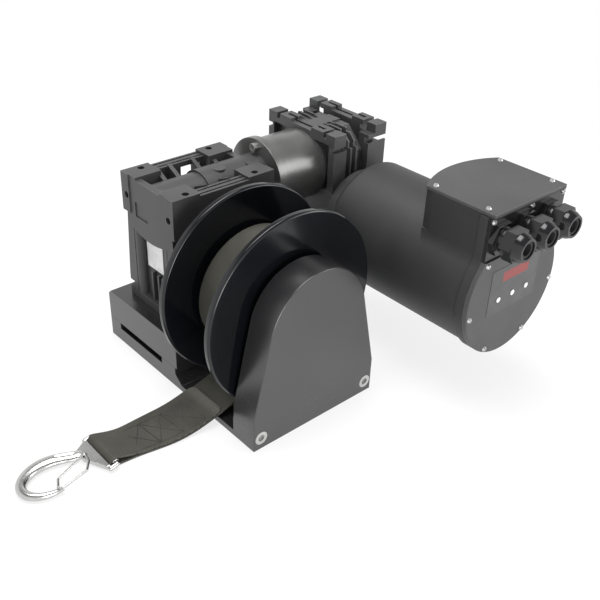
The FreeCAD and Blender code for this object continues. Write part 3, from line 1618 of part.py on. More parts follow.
def small_cuts():
    half = S.small_wheel_width / 2 + S.wheel_cavity_gap
    tip = SMALL_WHEEL_PITCH + SMALL_MODULE * ADDENDUM_SHARE + S.clear_gap * 2
    cuts = [rod("small_wheel_cavity", tip, (GEAR_X, MOTOR_Y - half, WORM_Z), half * 2, "Y")]
    bore = S.small_bearing_radius + S.fit_gap
    through = S.small_thickness + S.overrun * 2
    cuts.append(rod("small_seat", bore, (GEAR_X, SMALL_FRONT - S.overrun, WORM_Z), through, "Y"))
    reach = S.small_worm_bearing_start + S.small_worm_bearing_width
    bore = S.small_worm_bearing_radius + S.fit_gap
    end = reach + S.small_half_width + S.overrun
    cuts.append(rod("small_worm_seat", bore, (GEAR_X - reach, MOTOR_Y, MOTOR_Z), end, "X"))
    cuts += small_edge_cuts()
    for x, z in small_corner_places():
        start = (GEAR_X + x, SMALL_BACK + S.overrun, z)
        deep = S.small_plate_thickness + S.overrun * 2
        cuts.append(rod("corner_hole", S.corner_hole_radius, start, deep, "-Y"))
    for x, z in on_circle(S.cap_screw_circle, (45, 135, 225, 315)):
        start = (GEAR_X + x, SMALL_BACK + S.overrun, WORM_Z + z)
        hole = S.cap_screw_radius + S.fit_gap
        cuts.append(rod("cap_thread", hole, start, S.cap_screw_length + S.overrun, "-Y"))
    for y, z in on_circle(S.adapter_bolt_circle, ADAPTER_BOLT_ANGLES):
        start = (SMALL_RIGHT + S.overrun, MOTOR_Y + y, MOTOR_Z + z)
        hole = S.adapter_bolt_radius + S.fit_gap
        grip = S.adapter_bolt_length + S.adapter_bolt_head_height - S.motor_gap
        cuts.append(rod("adapter_thread", hole, start, grip + S.overrun * 3, "-X"))
    return cuts


def small_edge_cuts():
    """Notches, recesses, grooves and corner windows in the edges of the small casting's plates."""
    wide, deep, inset = S.small_half_width, S.notch_depth, S.notch_inset
    plate = S.small_plate_thickness
    near, far = SMALL_FRONT - S.overrun, SMALL_BACK + S.overrun
    cuts = []
    for side in (-1, 1):
        outer, inner = (wide + S.overrun) * side, (wide - deep) * side
        high = SMALL_TOP - inset
        cuts.append(corner_block("side_notch", outer, inner, near, far, high - S.notch_width, high))
        outer, inner = (wide - inset) * side, (wide - inset - S.notch_width) * side
        for low, high in (
            (SMALL_TOP - deep, SMALL_TOP + S.overrun),
            (SMALL_BOTTOM - S.overrun, SMALL_BOTTOM + deep),
        ):
            cuts.append(corner_block("edge_notch", outer, inner, near, far, low, high))
        outer, inner = (wide - S.pocket_inset) * side, (wide - S.pocket_inset - S.pocket_width) * side
        skin = SMALL_BACK - plate + S.pocket_skin
        low, high = SMALL_TOP - S.window_top - S.pocket_height, SMALL_TOP - S.window_top
        cuts.append(corner_block("back_pocket", outer, inner, skin, far, low, high))
        outer, inner = (wide - S.window_inset) * side, (wide - S.window_inset - S.window_side) * side
        low = high - S.window_rise
        cuts.append(corner_block("skin_window", outer, inner, SMALL_BACK - plate - S.overrun, far, low, high))
    reach, deep = S.front_recess_half_width, S.front_recess_depth
    low, high = WORM_Z - S.front_recess_rise, SMALL_TOP - S.front_recess_drop
    recess = corner_block("front_recess_block", -reach, reach, near, SMALL_FRONT + deep, low, high)
    start = (GEAR_X, near - S.overrun, WORM_Z)
    boss = rod("coupling_boss", S.coupling_boss_radius, start, deep + S.overrun * 3, "Y")
    cuts.append(cut("front_recess", recess, [boss]))
    reach = S.recess_half_length
    low = SMALL_TOP - S.recess_depth
    cuts.append(corner_block("top_recess", -reach, reach, near, far, low, SMALL_TOP + S.overrun))
    for middle in (SMALL_FRONT + plate / 2, SMALL_BACK - plate / 2):
        half, reach = S.groove_width / 2, S.groove_half_length
        cuts.append(
            corner_block(
                "top_groove", -reach, reach, middle - half, middle + half,
                SMALL_TOP - S.groove_depth, SMALL_TOP + S.overrun,
            )
        )
    return cuts


def small_corner_places():
    side = S.small_half_width - S.corner_hole_inset
    heights = (SMALL_BOTTOM + S.corner_hole_rise, SMALL_TOP - S.corner_hole_drop)
    return [(x, z) for x in (-side, side) for z in heights]


def make_small_gearbox():
    node("small_gearbox_housing", cut("small_gearbox_housing", small_frame(), small_cuts()))
    centre = (GEAR_X, 0, WORM_Z)
    inner = S.output_shaft_radius + S.fit_gap
    width, inset = S.small_bearing_width, S.small_bearing_inset
    rings = [
        ring("small_bearing", inner, S.small_bearing_radius, start, width, centre, "Y")
        for start in (SMALL_FRONT + inset, SMALL_BACK - inset - width)
    ]
    centre = (GEAR_X, MOTOR_Y, MOTOR_Z)
    inner = S.small_worm_shaft_radius + S.fit_gap
    start, width = S.small_worm_bearing_start, S.small_worm_bearing_width
    rings += [
        ring("small_worm_bearing", inner, S.small_worm_bearing_radius, side, width, centre, "X")
        for side in (-start - width, start)
    ]
    node("small_gearbox_bearings", group("small_gearbox_bearings", rings))
    centre = (GEAR_X, 0, WORM_Z)
    spigot = S.small_bearing_radius
    back = SMALL_BACK + S.small_cap_thickness
    outline = (
        (SMALL_BACK - inset, 0),
        (back, 0),
        (back, S.small_cap_radius - S.rim_chamfer),
        (back - S.rim_chamfer, S.small_cap_radius),
        (SMALL_BACK, S.small_cap_radius),
        (SMALL_BACK, spigot),
        (SMALL_BACK - inset, spigot),
    )
    cap = turned("small_cap_blank", outline, centre, "Y")
    cuts, screws = [], []
    for x, z in on_circle(S.cap_screw_circle, (45, 135, 225, 315)):
        start = (GEAR_X + x, back + S.overrun, WORM_Z + z)
        through = S.small_cap_thickness + S.overrun * 2
        cuts.append(rod("cap_hole", S.cap_screw_radius + S.fit_gap, start, through, "-Y"))
        place = (GEAR_X + x, back + S.cap_screw_head_height, WORM_Z + z)
        screws.append(
            cap_screw(
                "cap_screw", place, "-Y", S.cap_screw_radius, S.cap_screw_head_radius,
                S.cap_screw_head_height, S.cap_screw_length,
                S.cap_screw_head_radius, S.cap_screw_head_height / 2,
            )
        )
    node("small_gearbox_cap", cut("small_gearbox_cap", cap, cuts))
    node("small_cap_screws", group("small_cap_screws", screws))


# motor

MOTOR_AXIS = (0, MOTOR_Y, MOTOR_Z)


def make_motor_adapter():
    end = HOUSING_BACK + S.motor_wall
    outline = (
        (SMALL_RIGHT, S.adapter_bore),
        (end, S.adapter_bore),
        (end, S.spigot_radius - S.fit_gap),
        (HOUSING_BACK, S.spigot_radius - S.fit_gap),
        (HOUSING_BACK, S.adapter_radius),
        (SMALL_RIGHT, S.adapter_radius),
    )
    blank = turned("adapter_blank", outline, MOTOR_AXIS, "X")
    cuts, bolts = [], []
    for y, z in on_circle(S.adapter_bolt_circle, ADAPTER_BOLT_ANGLES):
        start = (HOUSING_BACK + S.overrun, MOTOR_Y + y, MOTOR_Z + z)
        sink = S.adapter_bolt_head_height + S.overrun * 2
        cuts.append(rod("adapter_sink", S.adapter_bolt_head_radius + S.bolt_hole_gap, start, sink, "-X"))
        through = S.motor_gap + S.overrun * 2
        cuts.append(rod("adapter_hole", S.adapter_bolt_radius + S.fit_gap, start, through, "-X"))
        place = (HOUSING_BACK - S.overrun, MOTOR_Y + y, MOTOR_Z + z)
        bolts.append(
            cap_screw(
                "adapter_bolt", place, "-X", S.adapter_bolt_radius, S.adapter_bolt_head_radius,
                S.adapter_bolt_head_height, S.adapter_bolt_length,
                S.adapter_bolt_head_radius, S.adapter_bolt_head_height / 2,
            )
        )
    node("motor_adapter", cut("motor_adapter", blank, cuts))
    node("adapter_bolts", group("adapter_bolts", bolts))


def make_motor_inside():
    bore = S.motor_bearing_radius + S.fit_gap
    plate = S.motor_plate_radius
    front = ring("motor_front_plate", bore, plate, PLATE_FRONT, S.motor_front_plate, MOTOR_AXIS, "X")
    ring_start = STATOR_END - S.brush_ring_thickness
    rear_end = STATOR_END + S.motor_rear_plate
    brush_ring = S.commutator_radius + S.brush_width / 2
    rear = turned(
        "motor_rear_plate",
        (
            (ring_start, brush_ring),
            (STATOR_END, brush_ring),
            (STATOR_END, bore),
            (rear_end, bore),
            (rear_end, plate),
            (STATOR_END, plate),
            (STATOR_END, S.stator_inner - S.fit_gap),
            (ring_start, S.stator_inner - S.fit_gap),
        ),
        MOTOR_AXIS, "X",
    )
    node("motor_plates", group("motor_plates", (front, rear)))
    tube = ring("motor_stator", S.stator_inner, plate, STATOR_START, S.stator_length, MOTOR_AXIS, "X")
    node("motor_stator", tube)
    middle = STATOR_START + S.armature_start
    commutator = ring_start - S.brush_length
    armature_end = commutator - S.commutator_gap
    start = middle - S.magnet_overhang
    length = armature_end - middle + S.magnet_overhang * 2
    outer = S.stator_inner - S.fit_gap
    whole = ring("magnet_ring", S.magnet_inner, outer, start, length, MOTOR_AXIS, "X")
    gap, reach = S.magnet_gap / 2, S.stator_inner + S.overrun
    long = start + length + S.overrun
    slots = [
        box("magnet_slot", (start - S.overrun, MOTOR_Y - across, MOTOR_Z - up),
            (long, MOTOR_Y + across, MOTOR_Z + up))
        for across, up in ((gap, reach), (reach, gap))
    ]
    node("stator_magnets", cut("stator_magnets", whole, slots))
    inner = S.rotor_shaft_radius + S.fit_gap
    width = S.motor_bearing_width
    bearings = [
        ring("motor_bearing", inner, S.motor_bearing_radius, place, width, MOTOR_AXIS, "X")
        for place in (PLATE_FRONT + S.motor_front_plate - width, STATOR_END)
    ]
    node("motor_bearings", group("motor_bearings", bearings))
    joint = SMALL_RIGHT + S.joint_face
    shaft, end = S.rotor_shaft_radius, STATOR_END + S.motor_rear_plate
    outline = (
        (joint, 0),
        (joint, shaft),
        (middle, shaft),
        (middle, S.armature_radius),
        (armature_end, S.armature_radius),
        (armature_end, shaft),
        (commutator, shaft),
        (commutator, S.commutator_radius),
        (commutator + S.commutator_length, S.commutator_radius),
        (commutator + S.commutator_length, shaft),
        (end, shaft),
        (end, 0),
    )
    node("motor_rotor", turned("motor_rotor", outline, MOTOR_AXIS, "X"))
    sleeve = turned(
        "motor_sleeve",
        (
            (joint - S.sleeve_length / 2, S.small_worm_shaft_radius + S.fit_gap),
            (joint, S.small_worm_shaft_radius + S.fit_gap),
            (joint, shaft + S.fit_gap),
            (joint + S.sleeve_length / 2, shaft + S.fit_gap),
            (joint + S.sleeve_length / 2, S.sleeve_radius),
            (joint - S.sleeve_length / 2, S.sleeve_radius),
        ),
        MOTOR_AXIS, "X",
    )
    node("motor_sleeve", sleeve)
    brushes = []
    for side in (-1, 1):
        near = (S.commutator_radius + S.clear_gap) * side
        far = near + S.brush_reach * side
        low, high = sorted((near, far), key=lambda size: size.value)
        half = S.brush_width / 2
        brushes.append(
            box("brush", (commutator, MOTOR_Y - half, MOTOR_Z + low),
                (ring_start, MOTOR_Y + half, MOTOR_Z + high))
        )
    node("carbon_brushes", group("carbon_brushes", brushes))


def blend_points(radius, side, blend):
    """Where a straight side of the box and the round of the motor meet their concave blend."""
    across = side + blend
    reach = radius + blend
    rise = root_of(reach * reach - across * across)
    share = radius / reach
    return rise, across * share, rise * share


def box_outline(lap):
    """The motor's end outline: a flat-topped box that blends into the round, all larger by the lap."""
    radius, blend = S.motor_radius + lap, S.box_blend - lap
    front, back = S.box_front + lap, S.box_back + lap
    rise_front, across_front, up_front = blend_points(radius, front, blend)
    rise_back, across_back, up_back = blend_points(radius, back, blend)
    top = BOX_TOP
    return (
        (MOTOR_Y - front, top),
        (MOTOR_Y - front, MOTOR_Z + rise_front, blend, "right"),
        (MOTOR_Y - across_front, MOTOR_Z + up_front, radius, "left"),
        (MOTOR_Y, MOTOR_Z - radius, radius, "left"),
        (MOTOR_Y + across_back, MOTOR_Z + up_back, blend, "right"),
        (MOTOR_Y + back, MOTOR_Z + rise_back),
        (MOTOR_Y + back, top),
    )


def box_plan(right):
    """The box seen from above, up to the given right end, with its bowed back."""
    return bowed_plan((S.box_front + S.box_back) / 2, right)


def bowed_plan(reach, right):
    """The box's plan at a given reach from its middle, along the same bowed back."""
    half, bulge = (S.box_front + S.box_back) / 2, S.box_bulge
    radius = (half * half + bulge * bulge) / (bulge * 2)
    left = HOUSING_FRONT - S.box_length - bulge + radius - root_of(radius * radius - reach * reach)
    middle = MOTOR_Y + (S.box_back - S.box_front) / 2
    return (
        (left, middle + reach, radius, "left"),
        (left, middle - reach),
        (right, middle - reach),
        (right, middle + reach),
    )


def make_motor_housing():
    curve = S.motor_back_round
    outline = (
        (HOUSING_BACK, 0),
        (HOUSING_FRONT, 0),
        (HOUSING_FRONT, S.motor_radius),
        (HOUSING_BACK + curve, S.motor_radius, curve, "left"),
        (HOUSING_BACK, S.motor_radius - curve),
    )
    drum = turned("motor_drum", outline, MOTOR_AXIS, "X")
    start = HOUSING_FRONT - S.box_length - S.box_bulge - S.overrun
    prism = extruded("box_prism", "YZ_Plane", box_outline(0), HOUSING_FRONT - start, offset=start)
    plan = bowed_plan(S.motor_radius, HOUSING_FRONT)
    tower = extruded("box_tower", "XY_Plane", plan, BOX_TOP - MOTOR_Z, offset=MOTOR_Z)
    tower_box = DRAWING.addObject("Part::Common", "tower_box")
    tower_box.Base = prism
    tower_box.Tool = tower
    rim = extruded(
        "motor_rim", "YZ_Plane", box_outline(S.cover_lap), S.rim_length, offset=HOUSING_FRONT - S.rim_length
    )
    shell = fuse("motor_shell", (drum, tower_box, rim))
    hollow = S.motor_radius - S.motor_wall
    run = S.motor_length - S.motor_wall + S.overrun
    cavity = rod("motor_cavity", hollow, (PLATE_FRONT, MOTOR_Y, MOTOR_Z), run, "X")
    inside = HOUSING_FRONT - S.box_length + S.box_wall
    room = box(
        "box_room",
        (inside, MOTOR_Y - S.box_front + S.box_wall, MOTOR_Z),
        (HOUSING_FRONT + S.overrun, MOTOR_Y + S.box_back - S.box_wall, BOX_TOP - S.box_roof),
    )
    inset = S.lid_opening_inset
    opening = box(
        "lid_opening",
        (HOUSING_FRONT - S.box_length + inset, MOTOR_Y - S.box_front + inset, BOX_TOP - S.box_roof * 2),
        (HOUSING_FRONT - inset, MOTOR_Y + S.box_back - inset, BOX_TOP + S.overrun),
    )
    back = (HOUSING_BACK - S.overrun, MOTOR_Y, MOTOR_Z)
    spigot = rod("spigot_hole", S.spigot_radius, back, S.motor_wall + S.overrun * 2, "X")
    threads = [
        rod("lid_thread", S.trim_screw_radius + S.fit_gap, (x, y, BOX_TOP + S.overrun),
            S.box_roof + S.overrun, "-Z")
        for x, y in lid_screw_places()
    ]
    threads += [
        rod("cover_thread", S.trim_screw_radius + S.fit_gap, (HOUSING_FRONT + S.overrun, y, z),
            S.trim_screw_length, "-X")
        for y, z in cover_screw_spots()
    ]
    node("motor_housing", cut("motor_housing", shell, [cavity, room, opening, spigot] + threads))


def lid_screw_places():
    inset = S.lid_screw_inset
    left, right = HOUSING_FRONT - S.box_length + inset, HOUSING_FRONT - inset
    low, high = MOTOR_Y - S.box_front + inset, MOTOR_Y + S.box_back - inset
    return [(x, y) for x in (left, right) for y in (low, high)]


def make_lid():
    hole = S.trim_screw_radius + S.fit_gap
    plan = box_plan(COVER_FACE)
    gasket = extruded("lid_gasket_blank", "XY_Plane", plan, S.gasket_thickness, offset=BOX_TOP)
    inset = S.lid_opening_inset
    opening = box(
        "gasket_opening",
        (HOUSING_FRONT - S.box_length + inset, MOTOR_Y - S.box_front + inset, BOX_TOP - S.overrun),
        (HOUSING_FRONT - inset, MOTOR_Y + S.box_back - inset, LID_TOP),
    )
    base = BOX_TOP + S.gasket_thickness
    lid = extruded("box_lid_blank", "XY_Plane", plan, S.lid_thickness, offset=base)
    rounded_face(lid, "z", LID_TOP, S.cover_round)
    gasket_cuts, lid_cuts = [opening], []
    for x, y in lid_screw_places():
        start = (x, y, LID_TOP + S.overrun)
        deep = S.trim_screw_length
        gasket_cuts.append(rod("gasket_hole", hole, start, deep, "-Z"))
        lid_cuts.append(rod("lid_hole", hole, start, deep, "-Z"))
    node("box_lid", cut("box_lid", lid, lid_cuts))
    screws = [pan_screw("lid_screw", (x, y, LID_TOP), "-Z") for x, y in lid_screw_places()]
    return cut("lid_gasket", gasket, gasket_cuts), screws


def cover_screw_spots():
    """Places of the end cover's screws in the YZ plane."""
    radius = S.motor_radius + S.cover_lap - S.cover_screw_edge
    spots = [
        (MOTOR_Y + across, MOTOR_Z + up) for across, up in on_circle(radius, COVER_SCREW_ANGLES)
    ]
    top = BOX_TOP - S.cover_top_screw_drop
    edge = S.cover_screw_edge
    front, back = MOTOR_Y - S.box_front - S.cover_lap + edge, MOTOR_Y + S.box_back + S.cover_lap - edge
    spots += [
        (MOTOR_Y - S.panel_screw_left, MOTOR_Z + S.panel_screw_left_rise),
        (MOTOR_Y + S.panel_screw_right, MOTOR_Z + S.panel_screw_right_rise),
    ]
    spots += [(front, top), (MOTOR_Y + S.gland_pitch / 4, top), (back, top)]
    shoulder = COVER_SPLIT - S.cover_screw_edge
    spots += [(front, shoulder), (back, shoulder)]
    return spots


def gland_places():
    return [MOTOR_Y + S.gland_pitch * step for step in (-1, 0, 1)]


def make_end_cover(lid_gasket, screws):
    """The end cover with the board's posts, the gland plate above it, and the box's gaskets and screws."""
    outline = box_outline(S.cover_lap)
    gasket = extruded("cover_gasket_blank", "YZ_Plane", outline, S.gasket_thickness, offset=HOUSING_FRONT)
    cover = extruded("end_cover_blank", "YZ_Plane", outline, S.cover_thickness, offset=COVER_BACK)
    rounded_face(cover, "x", COVER_FACE, S.cover_round)
    thin = S.cover_thickness - S.gland_step
    plate = extruded("gland_plate_blank", "YZ_Plane", outline, thin, offset=COVER_BACK)
    hollow = S.motor_radius - S.motor_wall
    start = HOUSING_FRONT - S.overrun
    gasket_cuts = [
        rod("gasket_round", hollow, (start, MOTOR_Y, MOTOR_Z), S.gasket_thickness + S.overrun * 2, "X"),
        box(
            "gasket_room",
            (start, MOTOR_Y - S.box_front + S.box_wall, MOTOR_Z),
            (COVER_BACK + S.overrun, MOTOR_Y + S.box_back - S.box_wall, BOX_TOP - S.box_roof),
        ),
    ]
    reach = S.motor_radius * 2
    ends = (COVER_BACK - S.overrun, COVER_FACE + S.overrun)
    cover_cuts = [
        box("cover_top", (ends[0], MOTOR_Y - reach, COVER_SPLIT), (ends[1], MOTOR_Y + reach, LID_TOP))
    ]
    plate_cuts = [
        box(
            "plate_foot",
            (ends[0], MOTOR_Y - reach, MOTOR_Z - reach),
            (ends[1], MOTOR_Y + reach, COVER_SPLIT),
        )
    ]
    hole = S.trim_screw_radius + S.fit_gap
    for y, z in cover_screw_spots():
        upper = z.value > COVER_SPLIT.value
        face = GLAND_FACE if upper else COVER_FACE
        deep = S.trim_screw_length + S.overrun * 2
        drill = rod("cover_screw_hole", hole, (face + S.overrun, y, z), deep, "-X")
        (plate_cuts if upper else cover_cuts).append(drill)
        gasket_cuts.append(drill)
        screws.append(pan_screw("cover_screw", (face, y, z), "-X"))
    for y in gland_places():
        place = (COVER_BACK - S.overrun, y, GLAND_Z)
        deep = S.cover_thickness + S.overrun * 2
        plate_cuts.append(rod("gland_hole", S.gland_thread_radius + S.fit_gap, place, deep, "X"))
    cover_gasket = cut("cover_gasket", gasket, gasket_cuts)
    node("box_gaskets", group("box_gaskets", (lid_gasket, cover_gasket)))
    posts = [
        rod("post", S.standoff_radius, (COVER_BACK, y, z), S.standoff_length, "-X")
        for y, z in post_places()
    ]
    node("end_cover", fuse("end_cover", [cut("end_cover_plate", cover, cover_cuts)] + posts))
    node("gland_plate", cut("gland_plate", plate, plate_cuts))
    node("box_screws", group("box_screws", screws))


def post_places():
    """Places of the four posts that hold the control board, in the YZ plane."""
    inset = S.standoff_inset
    across = S.board_half_width - inset
    heights = (MOTOR_Z - S.board_below + inset, MOTOR_Z + S.board_above - inset)
    return [(MOTOR_Y + y, z) for y in (-across, across) for z in heights]


def make_glands():
    bodies, domes, seals = [], [], []
    for y in gland_places():
        centre = (0, y, GLAND_Z)
        thread = ring(
            "gland_tube", S.gland_bore, S.gland_thread_radius, COVER_BACK,
            GLAND_FACE - COVER_BACK, centre, "X",
        )
        nut = hexagon("gland_nut", S.gland_flats, (GLAND_FACE, y, GLAND_Z), S.gland_nut_thickness, "X")
        neck_start = GLAND_FACE + S.gland_nut_thickness
        neck = rod("gland_neck", S.gland_neck_radius, (neck_start, y, GLAND_Z), S.gland_neck_length, "X")
        bore = rod(
            "gland_way", S.gland_bore, (GLAND_FACE - S.overrun, y, GLAND_Z),
            S.gland_nut_thickness + S.gland_neck_length + S.overrun * 2, "X",
        )
        head = cut("gland_head", fuse("gland_blank", (nut, neck)), (bore,))
        bodies.append(fuse("gland_body", (thread, head)))
        domes.append(gland_dome(y))
        seals.append(
            ring(
                "gland_seal", S.gland_bore - S.fit_gap * 2 - S.rim_chamfer, S.dome_mouth - S.fit_gap,
                DOME_START, S.dome_hex_length + S.dome_length - S.rim_chamfer, centre, "X",
            )
        )
    node("gland_bodies", group("gland_bodies", bodies))
    node("gland_dome_nuts", group("gland_dome_nuts", domes))
    node("gland_seals", group("gland_seals", seals))


def gland_dome(y):
    """A gland's dome nut: a hexagon that turns into a rounded cone with a round mouth."""
    start = (DOME_START, y, GLAND_Z)
    hexed = hexagon("dome_hex", S.dome_flats, start, S.dome_hex_length, "X")
    shoulder = DOME_START + S.dome_hex_length
    half = S.dome_length / 2
    middle = (S.dome_radius * 2 + S.dome_end_radius) / 3
    lower = taper("dome_low", (S.dome_radius, middle), (shoulder, y, GLAND_Z), half, "X")
    upper = taper("dome_high", (middle, S.dome_end_radius), (shoulder + half, y, GLAND_Z), half, "X")
    place = (DOME_START - S.overrun, y, GLAND_Z)
    mouth = rod("dome_way", S.dome_mouth, place, S.dome_hex_length + S.dome_length + S.overrun * 2, "X")
    return cut("gland_dome", fuse("dome_blank", (hexed, lower, upper)), (mouth,))


def make_display():
    low = MOTOR_Z - S.panel_bottom
    panel_face = COVER_FACE + S.panel_thickness
    panel = box(
        "display_panel",
        (COVER_FACE, MOTOR_Y - S.panel_left, low),
        (panel_face, MOTOR_Y + S.panel_right, low + S.panel_height),
    )
    node("display_panel", panel)
    lenses = [
        rod("lens", S.lens_radius, (panel_face, MOTOR_Y + S.lens_pitch * step, MOTOR_Z - S.lens_drop),
            S.lens_thickness, "X")
        for step in (-1, 0, 1)
    ]
    node("indicator_lenses", group("indicator_lenses", lenses))
    front = COVER_BACK - S.standoff_length
    board = box(
        "control_board",
        (front - S.board_thickness, MOTOR_Y - S.board_half_width, MOTOR_Z - S.board_below),
        (front, MOTOR_Y + S.board_half_width, MOTOR_Z + S.board_above),
    )
    node("control_board", board)


# hook on the strap's end

def pipe(points, radius):
    """A round bar along straight runs, with a ball at each bend and end."""
    shapes = [Part.makeSphere(radius, point) for point in points]
    for start, end in zip(points, points[1:]):
        shapes.append(Part.makeCylinder(radius, (end - start).Length, start, end - start))
    return shapes


def hook_point(x, y, z):
    """A place on the hook, from its middle line and its bar."""
    return Vector(S.hook_centre.value + x, -S.eye_y.value - y, z)


def forged_ring():
    """The hook's bar: an oval that grows and shrinks along the ring, drawn out to a thin nose."""
    low = S.ring_height.value
    half, reach = S.ring_half_width.value, S.ring_reach.value
    places = [hook_point(half * across, reach * along, low) for across, along, _, _ in RING_SHARES]
    ovals = []
    for index, (_, _, wide, high) in enumerate(RING_SHARES):
        before, after = places[max(index - 1, 0)], places[min(index + 1, len(places) - 1)]
        way = after - before
        across, up = S.ring_bar_width.value * wide, S.ring_bar_radius.value * high
        oval = Part.Ellipse(Vector(0, 0, 0), across, up).toShape()
        oval.rotate(Vector(0, 0, 0), Vector(1, 0, 0), 90)
        oval.rotate(Vector(0, 0, 0), Vector(0, 0, 1), math.degrees(math.atan2(way.y, way.x)) + 90)
        oval.translate(places[index])
        ovals.append(Part.Wire(oval))
    return Part.makeLoft(ovals, True, False)


def neck_plate():
    """The flat plate between the eye and the ring."""
    thick, low = S.neck_thickness.value, S.ring_height.value
    near, far = S.plate_start.value, S.plate_end.value
    plate, edge = S.plate_half_width.value, S.plate_edge.value
    neck, shift = S.neck_half_width.value, S.neck_shift.value
    foot = low - thick / 2
    corners = [
        hook_point(-plate, near, foot),
        hook_point(plate, near, foot),
        hook_point(plate, near + edge, foot),
        hook_point(neck - shift, far, foot),
        hook_point(-neck - shift, far, foot),
        hook_point(-plate, near + edge, foot),
    ]
    face = Part.Face(Part.makePolygon(corners + corners[:1]))
    return face.extrude(Vector(0, 0, thick))


def make_hook():
    bar, low = S.eye_height.value, S.ring_height.value
    wide, side = S.eye_half_width.value, S.eye_side_length.value
    eye = [
        hook_point(-wide, side, low),
        hook_point(-wide, 0, bar),
        hook_point(wide, 0, bar),
        hook_point(wide, side, low),
    ]
    shapes = pipe(eye, S.eye_side_radius.value)
    length = S.fold_width.value + S.clear_gap.value
    shapes.append(
        Part.makeCylinder(S.eye_bar_radius.value, length, hook_point(-length / 2, 0, bar), Vector(1, 0, 0))
    )
    shapes += [neck_plate(), forged_ring()]
    body = shapes[0].multiFuse(shapes[1:])
    half, reach = S.ring_half_width.value, S.ring_reach.value
    groove = [
        hook_point(half * across, reach * along, low + S.ring_bar_radius.value * high + S.slot_lift.value)
        for across, along, high in SLOT_SHARES
    ]
    pin = S.gate_pin_radius.value + S.fit_gap.value
    thick = S.neck_thickness.value
    place = hook_point(S.gate_pin_x.value, S.gate_pin_y.value, low - thick)
    hole = Part.makeCylinder(pin, thick * 2, place)
    body = body.cut([hole] + pipe(groove, S.slot_radius.value))
    node("hook_body", solid("hook_body", body))


def make_gate():
    """The sprung wire gate: a loop of wire that turns on a pin in the neck and rests on the hook's nose."""
    low, thick = S.ring_height.value, S.neck_thickness.value
    high = low + thick / 2 + S.gate_lift.value
    half, reach = S.ring_half_width.value, S.ring_reach.value
    points = [hook_point(half * across, reach * along, high) for across, along in GATE_WIRE_SHARES]
    shapes = pipe(points + points[:1], S.gate_wire_radius.value)
    foot = low - thick / 2
    place = hook_point(S.gate_pin_x.value, S.gate_pin_y.value, foot)
    shapes.append(Part.makeCylinder(S.gate_pin_radius.value, high - foot, place))
    body = shapes[0].multiFuse(shapes[1:])
    node("hook_gate", solid("hook_gate", body))


def check_and_write():
    DRAWING.recompute()
    for thing in DRAWING.Objects:
        if {"Invalid", "Error"} & set(thing.State):
            raise RuntimeError(f"{thing.Label} failed: {thing.State}")
    for name, thing in NODES.items():
        shape = thing.Shape
        if shape.isNull() or not shape.isValid() or not shape.Solids:
            raise RuntimeError(f"{name} has no valid solid")
    os.makedirs("parts", exist_ok=True)
    for name, thing in NODES.items():
        thing.Shape.exportStep(f"parts/{name}.step")
    print("nodes", len(NODES))


make_base_plate()
make_riser_block()
make_base_bolts()
make_arch()
make_drum()
make_strap_pack()
make_tail()
make_large_gears()
make_large_bearings()
make_gearbox_covers()
make_large_gearbox()
make_coupling_housing()
make_small_gears()
make_small_gearbox()
make_motor_adapter()
make_motor_inside()
make_motor_housing()
make_end_cover(*make_lid())
make_glands()
make_display()
make_hook()
make_gate()
check_and_write()
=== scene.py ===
import json
import math

import bpy
from mathutils import Matrix, Vector


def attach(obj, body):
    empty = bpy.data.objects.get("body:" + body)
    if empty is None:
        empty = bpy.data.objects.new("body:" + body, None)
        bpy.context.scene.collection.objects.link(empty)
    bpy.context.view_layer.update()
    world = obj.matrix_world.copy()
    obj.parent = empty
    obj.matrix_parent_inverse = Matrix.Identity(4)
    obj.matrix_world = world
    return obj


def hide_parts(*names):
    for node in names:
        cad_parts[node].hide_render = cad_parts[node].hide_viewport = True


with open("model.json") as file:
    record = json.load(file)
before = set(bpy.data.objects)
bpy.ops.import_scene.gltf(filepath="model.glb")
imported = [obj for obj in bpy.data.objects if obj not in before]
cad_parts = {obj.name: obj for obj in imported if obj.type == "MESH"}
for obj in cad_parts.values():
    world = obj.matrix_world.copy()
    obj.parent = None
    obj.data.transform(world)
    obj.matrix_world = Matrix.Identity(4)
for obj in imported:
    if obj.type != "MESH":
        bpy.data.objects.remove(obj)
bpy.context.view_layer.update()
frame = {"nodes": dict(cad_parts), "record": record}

NODES = frame["nodes"]
MM = 0.001


# shader maths

class Link:
    """An output of a node. Python's operators on it add Math nodes."""

    def __init__(self, nodes, socket):
        self.nodes = nodes
        self.socket = socket

    def beside(self, output):
        """Another output of the same node."""
        return Link(self.nodes, self.socket.node.outputs[output])

    def math(self, operation, *others):
        settings = {"operation": operation}
        return self.nodes.add("ShaderNodeMath", settings, {i: v for i, v in enumerate((self,) + others)})

    def __add__(self, other):
        return self.math("ADD", other)

    def __radd__(self, other):
        return self.math("ADD", other)

    def __sub__(self, other):
        return self.math("SUBTRACT", other)

    def __rsub__(self, other):
        return (self * -1).math("ADD", other)

    def __mul__(self, other):
        return self.math("MULTIPLY", other)

    def __rmul__(self, other):
        return self.math("MULTIPLY", other)

    def __truediv__(self, other):
        return self.math("DIVIDE", other)

    def __abs__(self):
        return self.math("ABSOLUTE")

    def sine(self):
        return self.math("SINE")

    def part(self):
        return self.math("FRACT")

    def floor(self):
        return self.math("FLOOR")

    def most(self, other):
        return self.math("MAXIMUM", other)

    def ramp(self, start, end, low=0.0, high=1.0):
        """A smooth step from low to high as the value goes from start to end."""
        values = {"Value": self, "From Min": start, "From Max": end, "To Min": low, "To Max": high}
        settings = {"interpolation_type": "SMOOTHSTEP"}
        return self.nodes.add("ShaderNodeMapRange", settings, values, "Result")


